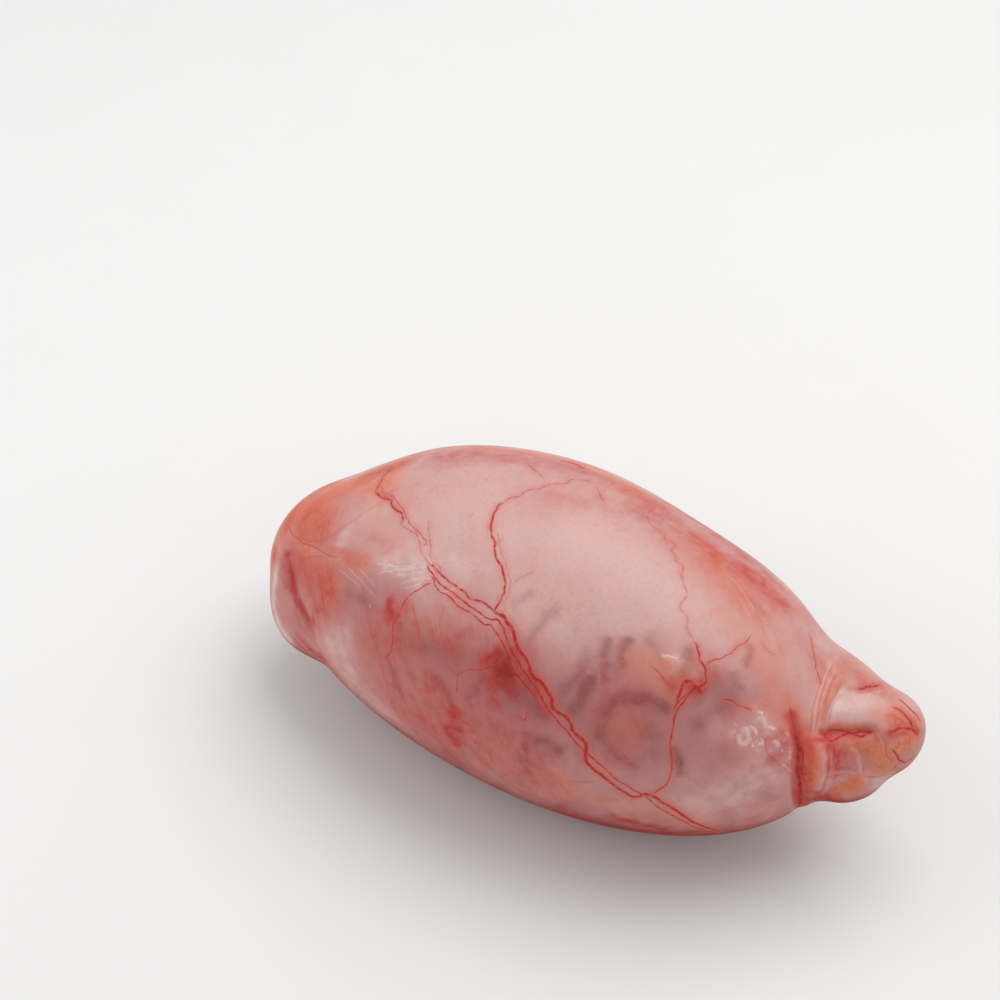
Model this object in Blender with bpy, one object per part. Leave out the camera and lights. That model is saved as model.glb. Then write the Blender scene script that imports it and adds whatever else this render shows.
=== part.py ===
"""Beef testicle, raw and trimmed, lying on its side: one solid.

The smooth skin is the zero level of one distance formula, which joins an egg-shaped body to the lobes of
the head end and of the tail. A UV sphere supplies the vertices: its poles go to the two ends, each row of
vertices takes a place along a core line inside the flesh, and each vertex walks in along its own ray until it
meets the skin. Folds, clefts and the low ridge of the duct along the hidden back then lift or sink it along
the skin's normal, and what would lie below the table is pressed flat.

+X runs along the body to the tail, -Y is the side that the photo shows, and +Z is up.
"""

import bmesh
import bpy
import numpy as np

NODE = "testicle"

# Body: an egg, fuller at the head (metres)
BODY_HEAD_LENGTH = 0.0646
BODY_TAIL_LENGTH = 0.0607
BODY_HALF_WIDTH = 0.0356
BODY_HALF_HEIGHT = 0.0346
BODY_CENTRE_HEIGHT = 0.0310
HEAD_FULLNESS = 0.91
TAIL_FULLNESS = 0.99
FULLNESS_BLEND = 0.0250
BODY_BOW = 0.0027
BODY_BOW_LENGTH = 0.0620
BODY_BOW_REST = 0.2
LEAST_RADIUS = 1e-6
LEAST_SLOPE = 0.1
PRESS_ROUNDING = 0.0020

# Lobes: centre, radii, turn about Z and lift of the +X end in degrees, blend with what is there
LOBES = {
    "head_cap": ((-0.0565, -0.0037, 0.0288), (0.0127, 0.0147, 0.0136), 0, 0, 0.0070),
    "head_lip": ((-0.0545, -0.0156, 0.0229), (0.0101, 0.0080, 0.0079), -30, 0, 0.0050),
    "tail_root": ((0.0505, 0.0029, 0.0324), (0.0138, 0.0148, 0.0142), 10, 0, 0.0060),
    "tail_lobe": ((0.0629, 0.0062, 0.0359), (0.0107, 0.0079, 0.0079), 10, 0, 0.0030),
    "tail_knob": ((0.0678, 0.0064, 0.0338), (0.0065, 0.0080, 0.0079), 0, 0, 0.0025),
    "tail_under": ((0.0642, 0.0021, 0.0290), (0.0062, 0.0069, 0.0065), 10, 0, 0.0016),
    "tail_low": ((0.0603, 0.0003, 0.0252), (0.0084, 0.0067, 0.0064), 0, 10, 0.0014),
    "shoulder": ((0.0562, 0.0115, 0.0362), (0.0099, 0.0059, 0.0060), -18, 0, 0.0030),
    "neck_roll": ((0.0582, -0.0087, 0.0350), (0.0040, 0.0044, 0.0080), -35, 12, 0.0012),
}

# Broad shallow hollows: centre, radius, depth
HOLLOWS = {
    "upper_back": ((0.0172, 0.0275, 0.0551), 0.0196, 0.0024),
    "head_top": ((-0.0541, 0.0088, 0.0504), 0.0130, 0.0017),
    "head_front": ((-0.0490, -0.0240, 0.0400), 0.0080, 0.0013),
}

# Grooves and ridges along short curves: half width, height, points of the curve
CURVE_STEPS = 4
ROUTE_TAPER = 0.25
ROUTES = {
    "outer_pleat": (
        0.0007, 0.0004,
        [(0.0532, 0.0104, 0.0461), (0.0545, 0.0008, 0.0479), (0.0552, -0.0042, 0.0468),
         (0.0560, -0.0086, 0.0438)],
    ),
    "middle_pleat": (
        0.0006, 0.0004,
        [(0.0548, 0.0030, 0.0474), (0.0556, 0.0001, 0.0471), (0.0560, -0.0049, 0.0458),
         (0.0570, -0.0080, 0.0430)],
    ),
    "inner_pleat": (
        0.0006, 0.0004,
        [(0.0560, 0.0030, 0.0466), (0.0567, -0.0022, 0.0460), (0.0576, -0.0055, 0.0441),
         (0.0585, -0.0075, 0.0420)],
    ),
    "crease": (
        0.0011, -0.0022,
        [(0.0510, -0.0087, 0.0485), (0.0542, -0.0107, 0.0443), (0.0562, -0.0125, 0.0395),
         (0.0570, -0.0140, 0.0350), (0.0578, -0.0135, 0.0290), (0.0575, -0.0105, 0.0215),
         (0.0562, -0.0070, 0.0165)],
    ),
    "sleeve_end": (
        0.0008, -0.0007,
        [(0.0572, 0.0055, 0.0456), (0.0578, 0.0018, 0.0455), (0.0579, -0.0027, 0.0448),
         (0.0589, -0.0062, 0.0422)],
    ),
    "back_fold": (
        0.0020, 0.0005,
        [(0.0530, 0.0167, 0.0409), (0.0542, 0.0185, 0.0342), (0.0558, 0.0164, 0.0279),
         (0.0574, 0.0121, 0.0229), (0.0590, 0.0056, 0.0202)],
    ),
    "back_crease": (
        0.0014, -0.0008,
        [(0.0568, 0.0157, 0.0408), (0.0578, 0.0173, 0.0349), (0.0592, 0.0145, 0.0299),
         (0.0605, 0.0110, 0.0262), (0.0621, 0.0060, 0.0223)],
    ),
    "tail_cleft": (
        0.0011, -0.0011,
        [(0.0576, -0.0074, 0.0432), (0.0630, -0.0017, 0.0405), (0.0675, 0.0012, 0.0409)],
    ),
    "knob_pinch": (
        0.0009, -0.0003,
        [(0.0683, 0.0016, 0.0410), (0.0713, 0.0047, 0.0410), (0.0743, 0.0060, 0.0374)],
    ),
    "shoulder_crease": (
        0.0009, -0.0010,
        [(0.0578, 0.0026, 0.0456), (0.0624, 0.0088, 0.0434), (0.0646, 0.0132, 0.0409)],
    ),
    "under_cleft": (
        0.0010, -0.0009,
        [(0.0605, -0.0082, 0.0334), (0.0639, -0.0046, 0.0324), (0.0686, -0.0018, 0.0304),
         (0.0710, -0.0005, 0.0280)],
    ),
    "lip_groove": (
        0.0021, -0.0017,
        [(-0.0605, -0.0128, 0.0420), (-0.0576, -0.0178, 0.0388), (-0.0545, -0.0219, 0.0340),
         (-0.0496, -0.0245, 0.0307), (-0.0440, -0.0270, 0.0255)],
    ),
    "cap_edge": (
        0.0020, -0.0006,
        [(-0.0635, -0.0080, 0.0402), (-0.0595, -0.0128, 0.0425), (-0.0548, -0.0158, 0.0445),
         (-0.0508, -0.0172, 0.0467), (-0.0475, -0.0185, 0.0478)],
    ),
    "duct_ridge": (
        0.0075, 0.0022,
        [(-0.0540, 0.0030, 0.0350), (-0.0340, 0.0250, 0.0325), (0.0000, 0.0345, 0.0310),
         (0.0280, 0.0300, 0.0300), (0.0500, 0.0160, 0.0290)],
    ),
}

# Core line inside the flesh, and the rows of vertices along it: how many up to each knot, the knot's X on
# the core, and how far the rays lean towards the tail there, in degrees
CORE = [
    (-0.0400, -0.0010, 0.0310), (0.0000, 0.0008, 0.0310), (0.0240, 0.0004, 0.0310),
    (0.0430, 0.0020, 0.0320), (0.0540, 0.0045, 0.0336), (0.0610, 0.0060, 0.0342),
]
ROW_KNOTS = (0, 16, 40, 52, 68, 76, 90)
CORE_KNOTS = (-0.0400, -0.0400, 0.0240, 0.0430, 0.0550, 0.0610, 0.0610)
TURN_KNOTS = (-90, 0, 0, 27, 25, 35, 90)
SIDES = 64
TANGENT_STEP = 0.0060
RAY_START = 0.0480
RAY_STEPS = 70
RAY_SHARE = 0.8
SLOPE_STEP = 0.00005

FLESH_COLOUR = (0.56, 0.27, 0.25, 1.0)
FLESH_ROUGHNESS = 0.30


def smooth_min(first, second, blend):
    """The lesser of two distances, rounded where they meet."""
    share = np.clip(0.5 + 0.5 * (second - first) / blend, 0.0, 1.0)
    return second + (first - second) * share - blend * share * (1.0 - share)


def smooth_step(start, end, value):
    share = np.clip((value - start) / (end - start), 0.0, 1.0)
    return share * share * (3.0 - 2.0 * share)


def bell(distance, width):
    return np.exp(-((distance / width) ** 2))


def body_distance(points):
    """About the distance to the egg, negative inside it."""
    x = points[:, 0]
    length = np.where(x < 0.0, BODY_HEAD_LENGTH, BODY_TAIL_LENGTH)
    fullness = smooth_step(-FULLNESS_BLEND, FULLNESS_BLEND, x)
    power = 2.0 / (HEAD_FULLNESS + (TAIL_FULLNESS - HEAD_FULLNESS) * fullness)
    bow = BODY_BOW * (BODY_BOW_REST - (x / BODY_BOW_LENGTH) ** 2)
    across = (points[:, 1] - bow) / BODY_HALF_WIDTH
    upward = (points[:, 2] - BODY_CENTRE_HEIGHT) / BODY_HALF_HEIGHT
    radius = np.hypot(across, upward) + LEAST_RADIUS
    level = (x / length) ** 2 + radius**power - 1.0
    slope_along = 2.0 * x / length**2
    slope_out = power * radius ** (power - 1.0) / BODY_HALF_WIDTH
    return level / (np.hypot(slope_along, slope_out) + LEAST_SLOPE)


def ellipsoid_distance(points, centre, radii, turn, lift):
    """About the distance to an ellipsoid, turned about Z and with its +X end lifted."""
    turn, lift = np.radians((turn, lift))
    offset = points - np.array(centre)
    ahead = offset[:, 0] * np.cos(turn) + offset[:, 1] * np.sin(turn)
    aside = offset[:, 1] * np.cos(turn) - offset[:, 0] * np.sin(turn)
    along = ahead * np.cos(lift) + offset[:, 2] * np.sin(lift)
    upward = offset[:, 2] * np.cos(lift) - ahead * np.sin(lift)
    local = np.stack([along, aside, upward], axis=1) / np.array(radii)
    level = np.linalg.norm(local, axis=1)
    slope = np.linalg.norm(local / np.array(radii), axis=1) + LEAST_SLOPE
    return level * (level - 1.0) / slope


def curve_through(knots, steps):
    """Points of a Catmull-Rom curve through the knots, with this many steps between two."""
    knots = np.array(knots)
    padded = np.vstack([2 * knots[0] - knots[1], knots, 2 * knots[-1] - knots[-2]])
    share = np.linspace(0.0, 1.0, steps, endpoint=False)[:, None]
    spans = []
    for before, start, end, after in zip(padded, padded[1:], padded[2:], padded[3:]):
        bend = 2 * before - 5 * start + 4 * end - after
        twist = 3 * start - before - 3 * end + after
        spans.append(start + 0.5 * share * (end - before + share * (bend + share * twist)))
    return np.vstack([*spans, knots[-1:]])


def route_relief(points, width, rise, knots):
    """Height of a groove or ridge that follows a curve and fades towards both ends."""
    route = curve_through(knots, CURVE_STEPS)
    distance = np.full(len(points), np.inf)
    place = np.zeros(len(points))
    for number, (start, end) in enumerate(zip(route, route[1:])):
        span = end - start
        share = np.clip((points - start) @ span / (span @ span), 0.0, 1.0)
        here = np.linalg.norm(points - start - share[:, None] * span, axis=1)
        place = np.where(here < distance, (number + share) / (len(route) - 1), place)
        distance = np.minimum(distance, here)
    fade = smooth_step(0.0, ROUTE_TAPER, place) * smooth_step(1.0, 1.0 - ROUTE_TAPER, place)
    return rise * fade * bell(distance, width)


def skin_distance(points):
    """About the distance to the smooth skin, negative inside the flesh."""
    distance = body_distance(points)
    for centre, radius, depth in HOLLOWS.values():
        distance += depth * bell(np.linalg.norm(points - np.array(centre), axis=1), radius)
    for centre, radii, turn, lift, blend in LOBES.values():
        lobe = ellipsoid_distance(points, centre, radii, turn, lift)
        distance = smooth_min(distance, lobe, blend)
    return distance


def relief(points):
    """Height of every fold, cleft and ridge over the smooth skin."""
    return sum(route_relief(points, *route) for route in ROUTES.values())


def skin_normals(points):
    """Which way the smooth skin faces: the slope of its distance formula."""
    steps = SLOPE_STEP * np.eye(3)
    slope = [skin_distance(points + step) - skin_distance(points - step) for step in steps]
    slope = np.stack(slope, axis=1)
    return slope / np.linalg.norm(slope, axis=1)[:, None]


def core_point(x):
    core = np.array(CORE)
    return np.stack([np.interp(x, core[:, 0], core[:, k]) for k in range(3)], axis=1)


def rays_of(sphere):
    """The start and direction of each vertex's ray, from its place on a unit sphere."""
    row = np.arccos(np.clip(sphere[:, 2], -1.0, 1.0)) / np.pi * ROW_KNOTS[-1]
    x = np.interp(row, ROW_KNOTS, CORE_KNOTS)
    turned = np.radians(np.interp(row, ROW_KNOTS, TURN_KNOTS))[:, None]
    ahead = core_point(x + TANGENT_STEP) - core_point(x - TANGENT_STEP)
    ahead /= np.linalg.norm(ahead, axis=1)[:, None]
    aside = np.cross((0.0, 0.0, 1.0), ahead)
    aside /= np.linalg.norm(aside, axis=1)[:, None]
    upward = np.cross(ahead, aside)
    round_angle = np.arctan2(sphere[:, 1], sphere[:, 0])[:, None]
    outward = np.cos(round_angle) * upward + np.sin(round_angle) * aside
    return core_point(x), np.cos(turned) * outward + np.sin(turned) * ahead


def meet_skin(starts, directions):
    """Walks each ray in from outside by a share of the distance that is still left to the skin."""
    reach = np.full((len(starts), 1), RAY_START)
    for _ in range(RAY_STEPS):
        reach -= RAY_SHARE * skin_distance(starts + directions * reach)[:, None]
    return starts + directions * reach


def press_flat(points):
    """Lifts what lies below the table on to it, with a rounded edge round the flat."""
    points = points.copy()
    points[:, 2] = -smooth_min(-points[:, 2], np.zeros(len(points)), PRESS_ROUNDING)
    return points


def centre_on_origin(points):
    """Moves the middle of the footprint to the origin."""
    middle = (points.min(axis=0) + points.max(axis=0)) / 2
    return points - middle * (1.0, 1.0, 0.0)


def flesh_material():
    material = bpy.data.materials.new("wet_membrane")
    material.use_nodes = True
    shader = material.node_tree.nodes["Principled BSDF"]
    shader.inputs["Base Color"].default_value = FLESH_COLOUR
    shader.inputs["Roughness"].default_value = FLESH_ROUGHNESS
    shader.inputs["Metallic"].default_value = 0.0
    return material


def add_testicle():
    shape = bmesh.new()
    bmesh.ops.create_uvsphere(shape, u_segments=SIDES, v_segments=ROW_KNOTS[-1], radius=1.0)
    sphere = np.array([vertex.co[:] for vertex in shape.verts])
    skin = meet_skin(*rays_of(sphere))
    skin += relief(skin)[:, None] * skin_normals(skin)
    skin = centre_on_origin(press_flat(skin))
    for vertex, place in zip(shape.verts, skin):
        vertex.co = place
    mesh = bpy.data.meshes.new(NODE)
    shape.to_mesh(mesh)
    shape.free()
    mesh.shade_smooth()
    mesh.materials.append(flesh_material())
    testicle = bpy.data.objects.new(NODE, mesh)
    bpy.context.scene.collection.objects.link(testicle)
    return testicle


def main():
    for old in list(bpy.data.objects):
        bpy.data.objects.remove(old, do_unlink=True)
    add_testicle()


main()
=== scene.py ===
"""Looks of a raw, trimmed beef testicle that lies on its side.

One closed skin replaces the plain solid. Its shape is the solid's own formula on a finer grid. Three grooves
are a little shallower in it than in the solid (crease, under_cleft, lip_groove), and two lobes of the tail
join more softly (tail_under, tail_low). Vessels, seams and ridges are lines on that skin, and fat, blood
spots and the dark tubules under the membrane are patches with uneven edges. Some of the colour is painted
light: painted shade where the skin faces down and along its lower rim, painted glints and glisten of the
wet membrane, and pale patches that lift shade on rims and a lobe. Each point of the skin keeps how far across
the nearest lines it lies, and the strength of each tone, as attributes, and the shader turns them into
colour, gloss and a little relief. Lines and patches on the side that shows are given in pixels of a 1000 x
1000 frame and cast through the camera on to the skin. Those on the hidden side are seeded walks.
"""

import bpy
import numpy as np
from mathutils import Matrix, Vector
from mathutils.bvhtree import BVHTree

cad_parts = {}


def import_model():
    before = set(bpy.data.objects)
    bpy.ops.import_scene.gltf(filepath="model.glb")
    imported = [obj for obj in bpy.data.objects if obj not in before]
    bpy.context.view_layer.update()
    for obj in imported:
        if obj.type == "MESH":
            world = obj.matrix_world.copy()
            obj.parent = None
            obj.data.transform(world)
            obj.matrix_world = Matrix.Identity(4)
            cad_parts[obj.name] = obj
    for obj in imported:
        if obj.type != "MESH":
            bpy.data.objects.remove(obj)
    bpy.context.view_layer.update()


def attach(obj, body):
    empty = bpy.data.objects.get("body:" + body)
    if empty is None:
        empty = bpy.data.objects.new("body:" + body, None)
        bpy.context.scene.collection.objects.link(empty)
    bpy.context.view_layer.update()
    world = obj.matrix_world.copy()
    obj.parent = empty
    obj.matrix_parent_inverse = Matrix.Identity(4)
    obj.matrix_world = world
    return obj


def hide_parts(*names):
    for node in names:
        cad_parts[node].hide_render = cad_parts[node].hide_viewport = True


NODE = "testicle"

# Form of the flesh, in metres

BODY_HEAD_LENGTH = 0.0646
BODY_TAIL_LENGTH = 0.0607
BODY_HALF_WIDTH = 0.0356
BODY_HALF_HEIGHT = 0.0346
BODY_CENTRE_HEIGHT = 0.0310
HEAD_FULLNESS = 0.91
TAIL_FULLNESS = 0.99
FULLNESS_BLEND = 0.0250
BODY_BOW = 0.0027
BODY_BOW_LENGTH = 0.0620
BODY_BOW_REST = 0.2
LEAST_RADIUS = 1e-6
LEAST_SLOPE = 0.1
PRESS_ROUNDING = 0.0020

# Lobes: centre, radii, turn about Z and lift of the +X end in degrees, blend with what is there
LOBES = {
    "head_cap": ((-0.0565, -0.0037, 0.0288), (0.0127, 0.0147, 0.0136), 0, 0, 0.0070),
    "head_lip": ((-0.0545, -0.0156, 0.0229), (0.0101, 0.0080, 0.0079), -30, 0, 0.0050),
    "tail_root": ((0.0505, 0.0029, 0.0324), (0.0138, 0.0148, 0.0142), 10, 0, 0.0060),
    "tail_lobe": ((0.0629, 0.0062, 0.0359), (0.0107, 0.0079, 0.0079), 10, 0, 0.0030),
    "tail_knob": ((0.0678, 0.0064, 0.0338), (0.0065, 0.0080, 0.0079), 0, 0, 0.0025),
    "tail_under": ((0.0642, 0.0021, 0.0290), (0.0062, 0.0069, 0.0065), 10, 0, 0.0024),
    "tail_low": ((0.0603, 0.0003, 0.0252), (0.0084, 0.0067, 0.0064), 0, 10, 0.0024),
    "shoulder": ((0.0562, 0.0115, 0.0362), (0.0099, 0.0059, 0.0060), -18, 0, 0.0030),
    "neck_roll": ((0.0582, -0.0087, 0.0350), (0.0040, 0.0044, 0.0080), -35, 12, 0.0012),
}

# Broad shallow hollows: centre, radius, depth
HOLLOWS = {
    "upper_back": ((0.0172, 0.0275, 0.0551), 0.0196, 0.0024),
    "head_top": ((-0.0541, 0.0088, 0.0504), 0.0130, 0.0017),
    "head_front": ((-0.0490, -0.0240, 0.0400), 0.0080, 0.0013),
}

# Grooves and ridges along short curves: half width, height, points of the curve
FOLDS = {
    "outer_pleat": (
        0.0007, 0.0004,
        [(0.0532, 0.0104, 0.0461), (0.0545, 0.0008, 0.0479), (0.0552, -0.0042, 0.0468),
         (0.0560, -0.0086, 0.0438)],
    ),
    "middle_pleat": (
        0.0006, 0.0004,
        [(0.0548, 0.0030, 0.0474), (0.0556, 0.0001, 0.0471), (0.0560, -0.0049, 0.0458),
         (0.0570, -0.0080, 0.0430)],
    ),
    "inner_pleat": (
        0.0006, 0.0004,
        [(0.0560, 0.0030, 0.0466), (0.0567, -0.0022, 0.0460), (0.0576, -0.0055, 0.0441),
         (0.0585, -0.0075, 0.0420)],
    ),
    "crease": (
        0.0011, -0.0015,
        [(0.0510, -0.0087, 0.0485), (0.0542, -0.0107, 0.0443), (0.0562, -0.0125, 0.0395),
         (0.0570, -0.0140, 0.0350), (0.0578, -0.0135, 0.0290), (0.0575, -0.0105, 0.0215),
         (0.0562, -0.0070, 0.0165)],
    ),
    "sleeve_end": (
        0.0008, -0.0007,
        [(0.0572, 0.0055, 0.0456), (0.0578, 0.0018, 0.0455), (0.0579, -0.0027, 0.0448),
         (0.0589, -0.0062, 0.0422)],
    ),
    "back_fold": (
        0.0020, 0.0005,
        [(0.0530, 0.0167, 0.0409), (0.0542, 0.0185, 0.0342), (0.0558, 0.0164, 0.0279),
         (0.0574, 0.0121, 0.0229), (0.0590, 0.0056, 0.0202)],
    ),
    "back_crease": (
        0.0014, -0.0008,
        [(0.0568, 0.0157, 0.0408), (0.0578, 0.0173, 0.0349), (0.0592, 0.0145, 0.0299),
         (0.0605, 0.0110, 0.0262), (0.0621, 0.0060, 0.0223)],
    ),
    "tail_cleft": (
        0.0011, -0.0011,
        [(0.0576, -0.0074, 0.0432), (0.0630, -0.0017, 0.0405), (0.0675, 0.0012, 0.0409)],
    ),
    "knob_pinch": (
        0.0009, -0.0003,
        [(0.0683, 0.0016, 0.0410), (0.0713, 0.0047, 0.0410), (0.0743, 0.0060, 0.0374)],
    ),
    "shoulder_crease": (
        0.0009, -0.0010,
        [(0.0578, 0.0026, 0.0456), (0.0624, 0.0088, 0.0434), (0.0646, 0.0132, 0.0409)],
    ),
    "under_cleft": (
        0.0010, -0.0004,
        [(0.0605, -0.0082, 0.0334), (0.0639, -0.0046, 0.0324), (0.0686, -0.0018, 0.0304),
         (0.0710, -0.0005, 0.0280)],
    ),
    "lip_groove": (
        0.0021, -0.0013,
        [(-0.0605, -0.0128, 0.0420), (-0.0576, -0.0178, 0.0388), (-0.0545, -0.0219, 0.0340),
         (-0.0496, -0.0245, 0.0307), (-0.0440, -0.0270, 0.0255)],
    ),
    "cap_edge": (
        0.0020, -0.0006,
        [(-0.0635, -0.0080, 0.0402), (-0.0595, -0.0128, 0.0425), (-0.0548, -0.0158, 0.0445),
         (-0.0508, -0.0172, 0.0467), (-0.0475, -0.0185, 0.0478)],
    ),
    "duct_ridge": (
        0.0075, 0.0022,
        [(-0.0540, 0.0030, 0.0350), (-0.0340, 0.0250, 0.0325), (0.0000, 0.0345, 0.0310),
         (0.0280, 0.0300, 0.0300), (0.0500, 0.0160, 0.0290)],
    ),
}
FOLD_STEPS = 4
FOLD_TAPER = 0.25

# Core line inside the flesh, and for each knot along it: its X on the core, how far the rays lean towards the
# tail there, in degrees, and how many rows of points lie before it in the solid and in the skin
CORE = [
    (-0.0400, -0.0010, 0.0310), (0.0000, 0.0008, 0.0310), (0.0240, 0.0004, 0.0310),
    (0.0430, 0.0020, 0.0320), (0.0540, 0.0045, 0.0336), (0.0610, 0.0060, 0.0342),
]
CORE_KNOTS = (-0.0400, -0.0400, 0.0240, 0.0430, 0.0550, 0.0610, 0.0610)
LEAN_KNOTS = (-90, 0, 0, 27, 25, 35, 90)
SOLID_ROWS = (0, 16, 40, 52, 68, 76, 90)
SOLID_SIDES = 64
SKIN_ROWS = (0, 62, 166, 202, 248, 272, 300)
SKIN_SIDES = 330
SHOWN_ANGLE = -0.71
CROWDING = 0.38
TANGENT_STEP = 0.0060
RAY_START = 0.0480
RAY_STEPS = 70
RAY_SHARE = 0.8
SLOPE_STEP = 0.00005

# Camera: 30 degrees to the side, 45 degrees up
CAMERA_TURN = 30.0
CAMERA_LIFT = 45.0
CAMERA_LENS = 72.0
CAMERA_NEAR = 0.01
SENSOR = 36.0
CAMERA_PLACE = (0.1243, -0.2447, 0.3452)
FRAME_PIXELS = 1000.0
PIXEL = 0.000208  # metres on the object to a pixel of the frame

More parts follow.
